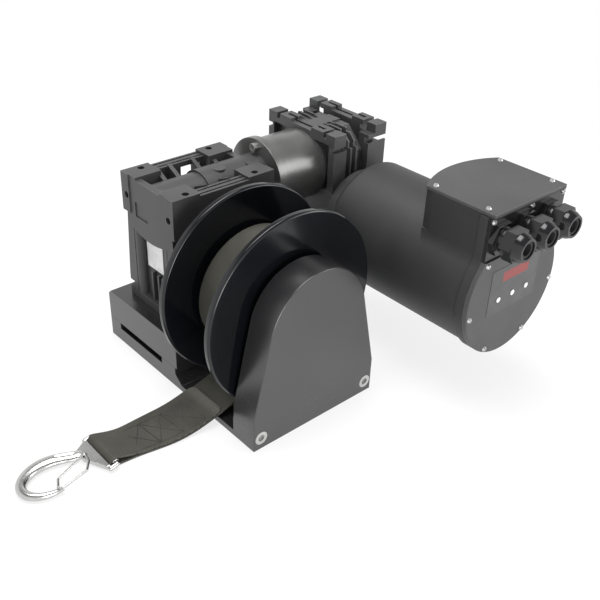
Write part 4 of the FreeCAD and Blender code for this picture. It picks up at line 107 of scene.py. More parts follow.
class Nodes:
    """The nodes of a material or a world, which feed its one surface node."""

    def __init__(self, owner, surface):
        owner.use_nodes = True
        self.tree = owner.node_tree
        self.surface = self.tree.nodes[surface]

    def add(self, kind, settings=None, values=None, output=0):
        """Adds a node: its settings first, then the values or links of its sockets."""
        node = self.tree.nodes.new(kind)
        for key, value in (settings or {}).items():
            setattr(node, key, value)
        for key, value in (values or {}).items():
            if isinstance(value, Link):
                self.tree.links.new(value.socket, node.inputs[key])
            else:
                node.inputs[key].default_value = value
        return Link(self, node.outputs[output])

    def feed(self, socket, value):
        self.tree.links.new(value.socket, self.surface.inputs[socket])


# the sockets of a Mix node that are for colours
MIX_SHARE, MIX_LOW, MIX_HIGH, MIX_RESULT = 0, 6, 7, 2


class Finish(Nodes):
    """A procedural material of the object, with one principled surface."""

    def __init__(self, name, **constants):
        self.material = bpy.data.materials.new(name)
        super().__init__(self.material, "Principled BSDF")
        for socket, value in constants.items():
            self.surface.inputs[socket.replace("_", " ")].default_value = value
        self.place = None

    def object_place(self):
        if self.place is None:
            self.place = self.add("ShaderNodeTexCoord", output="Object")
        return self.place

    def axes(self, place=None):
        split = self.add("ShaderNodeSeparateXYZ", None, {0: place or self.object_place()})
        return [split.beside(axis) for axis in "XYZ"]

    def noise(self, scale, detail, rough, place=None):
        place = place or self.object_place()
        values = {"Vector": place, "Scale": scale, "Detail": detail, "Roughness": rough}
        return self.add("ShaderNodeTexNoise", None, values)

    def colour(self, share, low, high):
        """A colour between two: share 0 gives low and share 1 gives high."""
        values = {MIX_SHARE: share}
        for key, value in ((MIX_LOW, low), (MIX_HIGH, high)):
            values[key] = value if isinstance(value, Link) else (*value, 1.0)
        return self.add("ShaderNodeMix", {"data_type": "RGBA"}, values, MIX_RESULT)

    def edges(self, radius):
        """About 0 on open faces and up to 1 along the outer and inner edges."""
        soft = self.add("ShaderNodeBevel", {"samples": 6}, {"Radius": radius})
        true = self.add("ShaderNodeNewGeometry", None, None, "Normal")
        settings = {"operation": "DOT_PRODUCT"}
        same = self.add("ShaderNodeVectorMath", settings, {0: soft, 1: true}, "Value")
        return (1 - same).ramp(0.015, 0.16)

    def bump(self, height, strength, distance):
        values = {"Height": height, "Strength": strength, "Distance": distance}
        return self.add("ShaderNodeBump", None, values)


# how far from an edge a coat is rubbed, and on the flanges how wide the painted highlight line along the rims
# is
WEAR_AND_GLINT_RADIUS = 0.8 * MM


def coated(name, colour, rough, grain, depth, worn_and_glint, wear_and_glint=0.5, **constants):
    """A plain coat or plastic with fine grain, uneven sheen and rubbed edges; on the flanges the light edge
    colour is a painted highlight as well as wear.
    """
    finish = Finish(name, **constants)
    broad = finish.noise(14, 4, 0.6)
    fine = finish.noise(grain, 2, 0.6)
    patches = finish.noise(55, 5, 0.65)
    dark = [c * 0.82 for c in colour]
    light = [c * 1.2 for c in colour]
    base = finish.colour((broad * 0.7 + fine * 0.3).ramp(0.3, 0.7), dark, light)
    # along the edges the coat turns to the worn colour: rubbed wear, and on the flanges a painted highlight
    # line
    edge = finish.edges(WEAR_AND_GLINT_RADIUS) * patches.ramp(0.35, 0.62) * wear_and_glint
    base = finish.colour(edge, base, worn_and_glint)
    finish.feed("Base Color", base)
    finish.feed("Roughness", rough - 0.06 + broad * 0.08 + fine * 0.05 - edge * 0.1)
    finish.feed("Normal", finish.bump(fine, 0.35, depth))
    return finish.material


# the object's finishes

# the cut end of the fold, along the strap tail
FRAY_START, FRAY_END = 303 * MM, 314 * MM
FRAYED = (0.17, 0.168, 0.15)
YARN, YARN_SHADE = (0.085, 0.083, 0.070), (0.02, 0.02, 0.016)
ROW_PITCH, RIB_PITCH = 1.6 * MM, 1.05 * MM


def webbing(name, fuzz, frays):
    """Woven strap: rows of yarn across and along, from the piece's own UV map in metres."""
    finish = Finish(name, Roughness=0.75, Specular_IOR_Level=0.25)
    uv = finish.add("ShaderNodeUVMap", {"uv_map": "weave"})
    across, along, _ = finish.axes(uv)
    rows = along / ROW_PITCH
    ribs = across / RIB_PITCH
    slant = (ribs + (rows * 0.5).floor() * 0.5).part()
    yarn = 1 - abs(slant * 2 - 1)
    pick = abs((rows * math.pi).sine())
    height = yarn * 0.6 + pick * 0.4
    broad = finish.noise(30, 4, 0.6, uv)
    hairs = finish.noise(900, 2, 0.7, uv)
    # the weave's low parts are darkened towards YARN_SHADE as painted shade, mixed with random tone from the
    # noise
    shade_and_tone = (height * 0.6 + broad * 0.5 + hairs * 0.3).ramp(0.35, 1.0)
    base = finish.colour(shade_and_tone, YARN_SHADE, YARN)
    frayed = along.ramp(FRAY_START, FRAY_END) * hairs.ramp(0.3, 0.6) * frays
    finish.feed("Base Color", finish.colour(frayed, base, FRAYED))
    finish.feed("Roughness", 0.62 + hairs * 0.25 - yarn * 0.08 + frayed * 0.1)
    finish.feed("Normal", finish.bump(height + hairs * fuzz, 0.8, 0.35 * MM))
    return finish.material


def bare_metal(name, colour, rough):
    """Uncoated metal with fine tool marks."""
    finish = Finish(name, Metallic=1.0)
    marks = finish.noise(2500, 2, 0.6)
    broad = finish.noise(40, 3, 0.6)
    finish.feed("Base Color", finish.colour(broad.ramp(0.3, 0.7), [c * 0.8 for c in colour], colour))
    finish.feed("Roughness", rough - 0.08 + marks * 0.12 + broad * 0.08)
    finish.feed("Normal", finish.bump(marks, 0.15, 0.05 * MM))
    return finish.material


# the panel's plain bar: its spans along Y and Z, and the width of its soft edge
PANEL_BAR_SPANS = ((142 * MM, 178 * MM), (126 * MM, 136 * MM))
PANEL_BAR_EDGE = 0.2 * MM


def panel_film(name, film, bar):
    """The panel's film: a dark satin sheet with one plain coloured bar and rubbed spots."""
    finish = Finish(name, Coat_Weight=0.15)
    _, across, up = finish.axes()
    inside = 1
    for way, (low, high) in zip((across, up), PANEL_BAR_SPANS):
        inside = inside * way.ramp(low, low + PANEL_BAR_EDGE)
        inside = inside * way.ramp(high, high + PANEL_BAR_EDGE, 1.0, 0.0)
    grain = finish.noise(2600, 2, 0.6)
    rubbed = finish.noise(60, 5, 0.65)
    shade = finish.colour(rubbed.ramp(0.3, 0.7), [c * 0.8 for c in film], [c * 1.25 for c in film])
    finish.feed("Base Color", finish.colour(inside * rubbed.ramp(0.25, 0.5, 0.6, 1.0), shade, bar))
    finish.feed("Roughness", 0.36 + rubbed * 0.1 + grain * 0.05)
    finish.feed("Normal", finish.bump(grain, 0.3, 0.02 * MM))
    return finish.material


WORN = (0.16, 0.16, 0.16)
FINISHES = {
    "paint": coated("gloss_paint", (0.014, 0.014, 0.015), 0.25, 1500, 0.012 * MM, WORN,
                    Specular_IOR_Level=1.0),
    # the flanges' light edge colour paints a thin highlight line along the rims, beside rubbed wear
    "flange": coated("black_enamel", (0.0045, 0.005, 0.0065), 0.13, 700, 0.02 * MM, (0.25, 0.26, 0.28),
                     Specular_IOR_Level=0.5),
    "casting": coated("dark_casting", (0.046, 0.046, 0.047), 0.42, 1100, 0.16 * MM, (0.2, 0.2, 0.2),
                      wear_and_glint=0.75),
    # the housing's coat is darkened as painted shade, and the lid and end cover use a lighter copy of the
    # same coat, painted light
    "housing": coated("fine_texture_cover_painted_shade", (0.022, 0.022, 0.023), 0.55, 2200, 0.08 * MM, (0.09, 0.09, 0.09)),
    "lit_cover_face": coated("fine_texture_face_painted_light", (0.052, 0.052, 0.053), 0.55, 2200, 0.08 * MM, (0.1, 0.1, 0.1)),
    "sleeve": coated("satin_sleeve", (0.19, 0.19, 0.187), 0.31, 900, 0.015 * MM, (0.3, 0.3, 0.3),
                     Metallic=0.75),
    "gland_face": coated("glossy_plate", (0.012, 0.012, 0.013), 0.25, 900, 0.03 * MM, (0.05, 0.05, 0.05)),
    "gland": coated("glossy_nylon", (0.008, 0.008, 0.009), 0.16, 500, 0.02 * MM, (0.03, 0.03, 0.03)),
    "seal": coated("black_rubber", (0.012, 0.012, 0.012), 0.7, 1800, 0.05 * MM, (0.03, 0.03, 0.03)),
    "carbon": coated("graphite", (0.02, 0.02, 0.021), 0.6, 2500, 0.05 * MM, (0.05, 0.05, 0.05)),
    "magnet": coated("sintered_magnet", (0.06, 0.06, 0.065), 0.5, 2000, 0.05 * MM, WORN),
    "panel": panel_film("panel_film", (0.045, 0.045, 0.047), (0.2, 0.022, 0.02)),
    "label": coated("plain_label", (0.86, 0.86, 0.86), 0.35, 160, 0.5 * MM, (0.9, 0.9, 0.9)),
    "lens": coated("pale_lens", (0.7, 0.7, 0.7), 0.2, 600, 0.02 * MM, (0.8, 0.8, 0.8)),
    "strap": webbing("woven_strap", 0.5, 0.0),
    "strap_end": webbing("woven_strap_end", 0.6, 0.7),
    "thread": coated("dark_thread", (0.012, 0.012, 0.010), 0.6, 4000, 0.05 * MM, (0.03, 0.03, 0.027)),
    "steel": bare_metal("machined_steel", (0.62, 0.62, 0.61), 0.32),
    "polished": bare_metal("polished_steel", (0.6, 0.6, 0.592), 0.22),
    "bronze": bare_metal("wheel_bronze", (0.55, 0.34, 0.15), 0.35),
}


def dress(piece, finish):
    material = FINISHES[finish]
    if piece.material_slots:
        for place in piece.material_slots:
            place.material = material
    else:
        piece.data.materials.append(material)


SLOT_OF = {row["node"]: row["material_slot"] for row in frame["record"]["subparts"]}
BODY_OF = {
    name: body
    for body, names in frame["record"]["behaviour"]["bodies"].items()
    for name in names
}
for name, node in NODES.items():
    dress(node, SLOT_OF[name])


# pieces

def only(piece):
    """Selects one piece alone and makes it the active one."""
    bpy.ops.object.select_all(action="DESELECT")
    piece.select_set(True)
    bpy.context.view_layer.objects.active = piece


def settle(piece, body, slot):
    """Gives the piece its body, its slot and the slot's finish."""
    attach(piece, body)
    dress(piece, slot)
    return piece


# copies of CAD meshes: points nearer than this are one, and faces within this angle are one
MERGE_GAP, FLAT_ANGLE = 0.002 * MM, math.radians(0.5)


def copied(name, ending):
    """A copy of a CAD node with its points merged and its flat faces joined, selected alone."""
    piece = bpy.data.objects.new(f"{name}_{ending}", NODES[name].data.copy())
    bpy.context.scene.collection.objects.link(piece)
    only(piece)
    bpy.ops.object.mode_set(mode="EDIT")
    bpy.ops.mesh.select_all(action="SELECT")
    bpy.ops.mesh.remove_doubles(threshold=MERGE_GAP)
    bpy.ops.mesh.dissolve_limited(angle_limit=FLAT_ANGLE)
    bpy.ops.object.mode_set(mode="OBJECT")
    bpy.ops.mesh.customdata_custom_splitnormals_clear()
    return piece


def stand_for(piece, *names):
    """Puts the piece in the place of CAD nodes, on the body and slot of the first."""
    settle(piece, BODY_OF[names[0]], SLOT_OF[names[0]])
    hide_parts(*names)
    return piece


def dot(name, place):
    """A piece of one point at the place, from a plane merged to its middle, left in edit mode."""
    bpy.ops.object.select_all(action="DESELECT")
    bpy.ops.mesh.primitive_plane_add(size=MM, location=(0, 0, 0))
    piece = bpy.context.object
    piece.name = name
    bpy.ops.object.mode_set(mode="EDIT")
    bpy.ops.mesh.select_all(action="SELECT")
    bpy.ops.mesh.merge(type="CENTER")
    bpy.ops.transform.translate(value=place)
    return piece


def pull(step):
    """Extrudes what is selected by the step."""
    bpy.ops.mesh.extrude_region_move(TRANSFORM_OT_translate={"value": step})


# the upright back corners of the motor's box: the round's middle, radius and arc in degrees
CORNER_MIDDLE, CORNER_RADIUS = Vector((126.62, 131, 0)) * MM, 16 * MM
CORNER_SPAN = (-90, -146.6)
# the cutter's points outside the box, in millimetres
CORNER_OUTSIDE = [(108, 116), (112, 108), (126.62, 108)]
BOX_MIDDLE_Y = 165 * MM
CUTTER_HEIGHT = 50 * MM
CUTTER_STEPS = 10
# the height in millimetres from which each piece's corners are round
ROUNDED_FROM = {"motor_housing": 158, "box_gaskets": 158}


def corner_cutter(side, low):
    """A tall bar whose hollow side rounds one upright back corner of the box."""
    outline = []
    first, last = CORNER_SPAN
    for step in range(CUTTER_STEPS + 1):
        angle = math.radians(first + (last - first) * step / CUTTER_STEPS)
        outline.append(CORNER_MIDDLE + Vector((math.cos(angle), math.sin(angle), 0)) * CORNER_RADIUS)
    outline += [Vector((x, y, 0)) * MM for x, y in CORNER_OUTSIDE]
    outline = [Vector((p.x, BOX_MIDDLE_Y + (p.y - BOX_MIDDLE_Y) * side, low)) for p in outline]
    cutter = dot("corner_cutter", outline[0])
    for before, point in zip(outline, outline[1:]):
        pull(point - before)
    bpy.ops.mesh.select_all(action="SELECT")
    bpy.ops.mesh.edge_face_add()
    pull((0, 0, CUTTER_HEIGHT))
    bpy.ops.mesh.select_all(action="SELECT")
    bpy.ops.mesh.normals_make_consistent(inside=False)
    bpy.ops.object.mode_set(mode="OBJECT")
    return cutter


def round_box(piece, low):
    """Rounds the box's two upright back corners from the given height up."""
    for side in (1, -1):
        cutter = corner_cutter(side, low)
        only(piece)
        trim = piece.modifiers.new("corner", "BOOLEAN")
        trim.operation = "DIFFERENCE"
        trim.solver = "EXACT"
        trim.use_hole_tolerant = True
        trim.object = cutter
        bpy.ops.object.modifier_apply(modifier=trim.name)
        bpy.data.objects.remove(cutter)


# angles of a softened piece, in degrees: edges that are rounded, and edges that stay sharp in the shading
SOFT_LIMIT, SHADE_LIMIT = 35, 32
SOFT_SEGMENTS = 2
FACE_WEIGHT = 90


def softened(name, width):
    """A merged copy of a CAD node with its edges rounded, which stands for the node."""
    piece = copied(name, "edged")
    edge = piece.modifiers.new("edges", "BEVEL")
    edge.width = width * MM
    edge.segments = SOFT_SEGMENTS
    edge.limit_method = "ANGLE"
    edge.angle_limit = math.radians(SOFT_LIMIT)
    edge.use_clamp_overlap = True
    bpy.ops.object.modifier_apply(modifier=edge.name)
    if name in ROUNDED_FROM:
        round_box(piece, ROUNDED_FROM[name] * MM)
    bpy.ops.object.shade_smooth_by_angle(angle=math.radians(SHADE_LIMIT))
    facing = piece.modifiers.new("facing", "WEIGHTED_NORMAL")
    facing.keep_sharp = True
    facing.weight = FACE_WEIGHT
    bpy.ops.object.modifier_apply(modifier=facing.name)
    return stand_for(piece, name)


def forged(name, grain, passes):
    """A merged copy of a CAD node whose joints flow into each other, which stands for the node."""
    piece = copied(name, "forged")
    skin = piece.modifiers.new("skin", "REMESH")
    skin.mode = "VOXEL"
    skin.voxel_size = grain * MM
    bpy.ops.object.modifier_apply(modifier=skin.name)
    flow = piece.modifiers.new("flow", "SMOOTH")
    flow.factor = 0.5
    flow.iterations = passes
    bpy.ops.object.modifier_apply(modifier=flow.name)
    bpy.ops.object.shade_smooth()
    return stand_for(piece, name)


# the width of each piece's rounded edges, in millimetres
SOFT_EDGES = {
    "base_plate": 0.5,
    "riser_block": 0.6,
    "arch_support": 0.4,
    "arch_screws": 0.25,
    "drum_flange_left": 0.5,
    "drum_flange_right": 0.5,
    "gearbox_housing": 0.7,
    "gearbox_left_cover": 0.6,
    "gearbox_right_cover": 0.4,
    "gearbox_cover_screws": 0.3,
    "rating_label": 0.15,
    "coupling_flange": 0.8,
    "coupling_sleeve": 0.6,
    "coupling_screws": 0.3,
    "small_gearbox_housing": 0.7,
    "small_gearbox_cap": 0.4,
    "small_cap_screws": 0.25,
    "motor_adapter": 0.5,
    "motor_housing": 0.6,
    "box_gaskets": 0.1,
    "box_lid": 0.3,
    "box_screws": 0.2,
    "end_cover": 0.4,
    "gland_plate": 0.3,
    "gland_bodies": 0.4,
    "gland_dome_nuts": 0.6,
    "gland_seals": 0.3,
    "display_panel": 0.1,
    "indicator_lenses": 0.25,
}


# strap

DRUM_Z = 100.25 * MM
STRAP_LEFT, STRAP_WIDTH, STRAP_THICKNESS = 23.9 * MM, 45 * MM, 2 * MM
STRAP_STRIPS = 6
# the strap's rounded edges: their share of the thickness, steps and least angle in degrees
SELVEDGE_SHARE, SELVEDGE_STEPS, SELVEDGE_LIMIT = 0.3, 3, 60
STRAP_SHADE_LIMIT = 50
# the middle line of the tail's lower run, in millimetres
TAIL_ROUTE = [
    (45.6, 21.68, 42.86),
    (45.4, -4, 33.1),
    (45, -36, 21.9),
    (44.4, -66, 12),
    (43.4, -84, 6.2),
    (42.4, -99, 2.6),
    (41, -116, 1.2),
    (39.6, -134, 1.2),
    (38.4, -150, 1.2),
]
# the fold: the point of the lower run where its upper layer ends, its steps round the bar and its width
FOLD_START, FOLD_STEPS, FOLD_WIDTH = 3, 10, 37.5 * MM
FOLD_RADIUS = 4.4 * MM
# how far the fold's upper layer lies above the lower one, in millimetres
LAYER_RISE = 2.4
# the middle of the hook's bar
BAR = Vector((37, -169, 5.6)) * MM


def cross_line(name, place, width):
    """A line of short edges along X, all of it selected, left in edit mode."""
    piece = dot(name, place)
    for _ in range(STRAP_STRIPS):
        pull((width / STRAP_STRIPS, 0, 0))
    bpy.ops.mesh.select_all(action="SELECT")
    return piece


def woven(piece, lengths, middles):
    """Leaves edit mode and gives the sheet its weave map: metres across and along, row by row."""
    bpy.ops.object.mode_set(mode="OBJECT")
    mesh = piece.data
    weave = mesh.uv_layers.new(name="weave")
    for loop in mesh.loops:
        row = loop.vertex_index // (STRAP_STRIPS + 1)
        across = mesh.vertices[loop.vertex_index].co.x - middles[row]
        weave.data[loop.index].uv = (across, lengths[row])


def thickened(piece, thickness, levels):
    """Rounds the sheet's run, gives it the webbing's thickness and softens its edges."""
    smooth = piece.modifiers.new("run", "SUBSURF")
    smooth.levels = smooth.render_levels = levels
    bpy.ops.object.modifier_apply(modifier=smooth.name)
    body = piece.modifiers.new("body", "SOLIDIFY")
    body.thickness = thickness
    body.offset = 0
    bpy.ops.object.modifier_apply(modifier=body.name)
    edge = piece.modifiers.new("selvedge", "BEVEL")
    edge.width = thickness * SELVEDGE_SHARE
    edge.segments = SELVEDGE_STEPS
    edge.limit_method = "ANGLE"
    edge.angle_limit = math.radians(SELVEDGE_LIMIT)
    bpy.ops.object.modifier_apply(modifier=edge.name)
    bpy.ops.object.shade_smooth_by_angle(angle=math.radians(STRAP_SHADE_LIMIT))


def tail_route():
    """The strap's middle line in metres: the lower run, round the hook's bar and back on top."""
    lower = [Vector(point) * MM for point in TAIL_ROUTE]
    fold = []
    for step in range(FOLD_STEPS + 1):
        angle = math.radians(-90 - 180 * step / FOLD_STEPS)
        fold.append(BAR + Vector((0, math.cos(angle), math.sin(angle))) * FOLD_RADIUS)
    upper = []
    for index in range(FOLD_START, len(lower)):
        way = lower[min(index + 1, len(lower) - 1)] - lower[index - 1]
        upper.append(lower[index] + Vector((0, way.z, -way.y)).normalized() * LAYER_RISE * MM)
    return lower + fold + upper[::-1]


def strap_width_at(y):
    first, last = TAIL_ROUTE[-3][1] * MM, TAIL_ROUTE[-1][1] * MM
    share = min(max((y - first) / (last - first), 0), 1)
    return STRAP_WIDTH + (FOLD_WIDTH - STRAP_WIDTH) * share


def make_tail():
    route = tail_route()
    width = STRAP_WIDTH
    piece = cross_line("strap_tail_webbing", route[0] - Vector((width / 2, 0, 0)), width)
    lengths = [0.0]
    for before, point in zip(route, route[1:]):
        pull(point - before)
        wide = strap_width_at(point.y)
        bpy.ops.transform.resize(value=(wide / width, 1, 1), center_override=point)
        width = wide
        lengths.append(lengths[-1] + (point - before).length)
    woven(piece, lengths, [point.x for point in route])
    thickened(piece, STRAP_THICKNESS, 2)
    stand_for(piece, "strap_tail")
    dress(piece, "strap_end")
    area = sum(
        (strap_width_at(before.y) + strap_width_at(after.y)) / 2 * (after - before).length
        for before, after in zip(route, route[1:])
    )
    return route


# the wound turns: the innermost radius, how far each half turn steps out, and their parts
TURNS_RADIUS, TURN_STEP = 53.9 * MM, 1.25 * MM
HALF_TURNS, TURN_PARTS = 4, 24


def make_turns():
    """The outermost turns: half circles about two middles, each a little larger than the last."""
    radius = TURNS_RADIUS
    piece = cross_line("strap_turns_webbing", (STRAP_LEFT, 0, DRUM_Z - radius), STRAP_WIDTH)
    middle, side = DRUM_Z, 1
    lengths = [0.0]
    for _ in range(HALF_TURNS):
        bpy.ops.mesh.spin(steps=TURN_PARTS, angle=math.pi, center=(0, 0, middle), axis=(-1, 0, 0))
        step = math.pi * radius / TURN_PARTS
        lengths += [lengths[-1] + step * (part + 1) for part in range(TURN_PARTS)]
        middle -= TURN_STEP * side
        radius += TURN_STEP
        side = -side
    woven(piece, lengths, [STRAP_LEFT + STRAP_WIDTH / 2] * len(lengths))
    thickened(piece, STRAP_THICKNESS, 1)
    stand_for(piece, "strap_outer_turns")


CORE_INNER, CORE_OUTER, CORE_LAYERS = 34.3 * MM, 52.6 * MM, 8
# how deep the line between two layers is, and the shares of a layer that are flat and sloped
LAYER_SINK = 0.5 * MM
FLAT_SHARE, SLOPE_SHARE = 0.8, 0.1
CORE_STEPS, CORE_SEAM, CORE_SHADE_LIMIT = 96, 0.01 * MM, 40


def make_core():
    """The inner turns: a turned ring whose two sides show the edges of the layers."""
    pitch = (CORE_OUTER - CORE_INNER) / CORE_LAYERS
    flat, slope = pitch * FLAT_SHARE, pitch * SLOPE_SHARE
    piece = dot("strap_core_webbing", (STRAP_LEFT, 0, DRUM_Z + CORE_INNER))
    for _ in range(CORE_LAYERS):
        pull((0, 0, flat))
        pull((LAYER_SINK, 0, slope))
        pull((-LAYER_SINK, 0, slope))
    pull((STRAP_WIDTH, 0, 0))
    for _ in range(CORE_LAYERS):
        pull((-LAYER_SINK, 0, -slope))
        pull((LAYER_SINK, 0, -slope))
        pull((0, 0, -flat))
    pull((-STRAP_WIDTH, 0, 0))
    bpy.ops.mesh.select_all(action="SELECT")
    bpy.ops.mesh.spin(steps=CORE_STEPS, angle=math.tau, center=(0, 0, DRUM_Z), axis=(1, 0, 0))
    bpy.ops.mesh.select_all(action="SELECT")
    bpy.ops.mesh.remove_doubles(threshold=CORE_SEAM)
    bpy.ops.mesh.normals_make_consistent(inside=False)
    bpy.ops.object.mode_set(mode="OBJECT")
    weave = piece.data.uv_layers.new(name="weave")
    for loop in piece.data.loops:
        place = piece.data.vertices[loop.vertex_index].co
        turn = math.atan2(place.y, place.z - DRUM_Z)
        weave.data[loop.index].uv = (place.x, turn * CORE_OUTER)
    bpy.ops.object.shade_smooth_by_angle(angle=math.radians(CORE_SHADE_LIMIT))
    return stand_for(piece, "strap_core")


THREAD_RADIUS, STITCH_DEPTH = 0.42 * MM, 1.2 * MM
STITCH_PITCH = 2.7 * MM
# the steps of a stitch's end: its length, and for each step the dip in millimetres and the width left
STITCH_END = 0.45 * MM
STITCH_DIPS = ((-0.18, 0.85), (-0.5, 0.6))


def make_stitch():
    """One stitch of thick thread along Y: a rounded bar whose ends dip into the webbing."""
    bpy.ops.object.select_all(action="DESELECT")
    lying = (math.pi / 2, 0, 0)
    bpy.ops.mesh.primitive_cylinder_add(vertices=8, radius=THREAD_RADIUS, depth=STITCH_DEPTH, rotation=lying)
    piece = bpy.context.object
    bpy.ops.object.transform_apply(location=True, rotation=True, scale=True)
    for side in (-1, 1):
        bpy.ops.object.mode_set(mode="EDIT")
        bpy.ops.mesh.select_all(action="DESELECT")
        bpy.ops.object.mode_set(mode="OBJECT")
        for face in piece.data.polygons:
            face.select = face.normal.y * side > 0.9
        bpy.ops.object.mode_set(mode="EDIT")
        for dip, share in STITCH_DIPS:
            pull((0, STITCH_END * side, dip * MM))
            bpy.ops.transform.resize(value=(share, 1, share))
        bpy.ops.object.mode_set(mode="OBJECT")
    bpy.ops.object.shade_smooth()
    return piece


# corners of the sewn boxes on the fold: across from the strap's middle, and along Y, in millimetres
SEWN_LINES = [
    ((-12.8, -151), (16.2, -149)),
    ((-13.5, -129), (18.2, -126)),
    ((-14, -107.5), (18, -104)),
    ((-13.2, -85), (18.8, -82)),
]


def sewn_runs():
    """The lines of stitches: each cross line, the two sides of each box and its diagonals."""
    runs = list(SEWN_LINES)
    for (left, right), (next_left, next_right) in zip(SEWN_LINES, SEWN_LINES[1:]):
        runs += [(left, next_left), (right, next_right), (left, next_right), (right, next_left)]
    return runs


# the share of a sewn line that a stitch looks ahead for its direction
AHEAD = 0.01


def make_stitching(route):
    """Sews the fold's two layers: stitches modelled once and copied along every line."""
    top = sorted(((p.y, p.z, p.x) for p in route[len(TAIL_ROUTE) + FOLD_STEPS + 1:]))

    def on_fold(across, y):
        for (y0, z0, x0), (y1, z1, x1) in zip(top, top[1:]):
            if y <= y1 or y1 == top[-1][0]:
                share = (y - y0) / (y1 - y0)
                lift = STRAP_THICKNESS / 2 * (y1 - y0) / math.hypot(y1 - y0, z1 - z0)
                return Vector((x0 + (x1 - x0) * share + across, y, z0 + (z1 - z0) * share + lift))

    model = make_stitch()
    copies = []
    for (x0, y0), (x1, y1) in sewn_runs():
        start, end = on_fold(x0 * MM, y0 * MM), on_fold(x1 * MM, y1 * MM)
        count = round((end - start).length / STITCH_PITCH)
        for number in range(count):
            share = (number + 0.5) / count
            across, y = x0 + (x1 - x0) * share, y0 + (y1 - y0) * share
            place = on_fold(across * MM, y * MM)
            way = on_fold((across + (x1 - x0) * AHEAD) * MM, (y + (y1 - y0) * AHEAD) * MM) - place
            thread = bpy.data.objects.new("stitch", model.data.copy())
            bpy.context.scene.collection.objects.link(thread)
            thread.matrix_world = Matrix.Translation(place) @ way.to_track_quat("Y", "Z").to_matrix().to_4x4()
            copies.append(thread)
    bpy.ops.object.select_all(action="DESELECT")
    for thread in copies:
        thread.select_set(True)
    model.select_set(True)
    model.location = copies[0].location
    model.rotation_euler = copies[0].rotation_euler
    bpy.context.view_layer.objects.active = copies[0]
    bpy.ops.object.join()
    sewing = bpy.context.object
    sewing.name = "strap_stitching"
    bpy.ops.object.transform_apply(location=True, rotation=True, scale=True)
    settle(sewing, BODY_OF["strap_tail"], "strap")
    dress(sewing, "thread")
    return sewing


# pieces that look different from the rest of their slot; the lid and end cover take the lighter,
# painted-light copy of the housing's coat
OTHER_FINISH = {
    "box_lid": "lit_cover_face",
    "end_cover": "lit_cover_face",
    "gland_plate": "gland_face",
    "coupling_flange": "sleeve",
    "coupling_sleeve": "sleeve",
}
# the grain in millimetres and the smoothing passes of the forged pieces
FORGED = {"hook_body": (0.3, 8), "hook_gate": (0.2, 4)}

for name, width in SOFT_EDGES.items():
    piece = softened(name, width)
    dress(piece, OTHER_FINISH.get(name, SLOT_OF[name]))
for name, (grain, passes) in FORGED.items():
    forged(name, grain, passes)
make_core()
make_turns()
make_stitching(make_tail())


# stage, light and camera

FLOOR_SIZE = 1.5
# the share of the floor that glows white: to every ray, and more to the camera's and to mirrored ones
GLOW_SHARE, SEEN_GLOW_SHARE = 0.2, 0.55
# the sky's level for diffuse light, and what is left of it high up in mirrored rays
SKY_DIFFUSE, SKY_TOP = 0.55, 0.25
# the heights on the unit dome between which mirrored rays lose their light
SKY_FADE = (0.5, 0.75)
# lamps: name, place, side in metres and power in watts
LAMPS = (
    ("key", (-0.1, 0.0, 1.4), 0.9, 20),
    ("side", (0.7, -0.25, 0.06), 0.4, 4.5),
    ("back", (0.75, 0.95, 0.45), 0.8, 6),
)
LAMP_TARGET = Vector((0, 0.05, 0.1))
CAMERA_PLACE = (0.5316, -0.4066, 0.4976)
CAMERA_TURN, CAMERA_RISE, CAMERA_ROLL = (math.radians(angle) for angle in (47.40, 32.57, 2.16))
CAMERA_LENS = 50.49


def make_stage():
    """A pale floor that glows a little, so that it fades into the white sky."""
    bpy.ops.object.select_all(action="DESELECT")
    bpy.ops.mesh.primitive_plane_add(size=FLOOR_SIZE)
    floor = bpy.context.object
    floor.name = "floor"
    finish = Finish("pale_floor", Roughness=0.9, Specular_IOR_Level=0.0)
    finish.surface.inputs["Base Color"].default_value = (0.92, 0.92, 0.92, 1)
    seen = finish.add("ShaderNodeLightPath", output="Is Camera Ray")
    mirrored = seen.beside("Is Glossy Ray")
    glow = finish.add("ShaderNodeEmission", None, {"Color": (1, 1, 1, 1), "Strength": 1.0})
    mixed = finish.add("ShaderNodeMixShader", None, {
        "Fac": seen.most(mirrored) * SEEN_GLOW_SHARE + GLOW_SHARE,
        1: Link(finish, finish.surface.outputs[0]),
        2: glow,
    })
    output = finish.tree.nodes["Material Output"]
    finish.tree.links.new(mixed.socket, output.inputs["Surface"])
    floor.data.materials.append(finish.material)


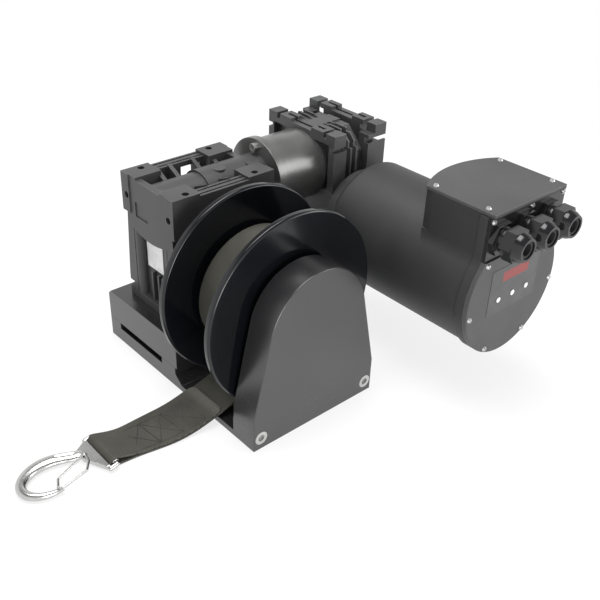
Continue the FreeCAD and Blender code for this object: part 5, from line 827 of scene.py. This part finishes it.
def make_sky():
    """A white sky: full to the camera, dimmer as diffuse light and faded high up in mirrored rays."""
    world = bpy.data.worlds.new("studio")
    bpy.context.scene.world = world
    sky = Nodes(world, "Background")
    sky.surface.inputs["Color"].default_value = (1, 1, 1, 1)
    seen = sky.add("ShaderNodeLightPath", output="Is Camera Ray")
    mirrored = seen.beside("Is Glossy Ray")
    shown = seen.most(seen.beside("Is Transmission Ray")).most(mirrored)
    strength = SKY_DIFFUSE + shown * (1 - SKY_DIFFUSE)
    way = sky.add("ShaderNodeTexCoord", output="Generated")
    rise = sky.add("ShaderNodeSeparateXYZ", None, {0: way}, "Z")
    dome = rise.ramp(*SKY_FADE, 1.0, SKY_TOP)
    sky.feed("Strength", strength * (1 + mirrored * (dome - 1)))


def make_lamps():
    for name, place, size, power in LAMPS:
        lamp = bpy.data.lights.new(name, "AREA")
        lamp.size = size
        lamp.energy = power
        stand = bpy.data.objects.new(name, lamp)
        bpy.context.scene.collection.objects.link(stand)
        stand.location = place
        way = LAMP_TARGET - Vector(place)
        stand.rotation_euler = way.to_track_quat("-Z", "Y").to_euler()


def make_camera():
    data = bpy.data.cameras.new("camera")
    data.sensor_width = 36
    data.lens = CAMERA_LENS
    camera = bpy.data.objects.new("camera", data)
    bpy.context.scene.collection.objects.link(camera)
    turn, rise, roll = CAMERA_TURN, CAMERA_RISE, CAMERA_ROLL
    back = Vector((math.sin(turn) * math.cos(rise), -math.cos(turn) * math.cos(rise), math.sin(rise)))
    right = Vector((math.cos(turn), math.sin(turn), 0))
    up = back.cross(right)
    level = right * math.cos(roll) + up * math.sin(roll)
    upright = back.cross(level)
    camera.matrix_world = Matrix((
        (level.x, upright.x, back.x, CAMERA_PLACE[0]),
        (level.y, upright.y, back.y, CAMERA_PLACE[1]),
        (level.z, upright.z, back.z, CAMERA_PLACE[2]),
        (0, 0, 0, 1),
    ))
    bpy.context.scene.camera = camera


make_stage()
make_sky()
make_lamps()
make_camera()
bpy.context.scene.view_settings.view_transform = "Standard"
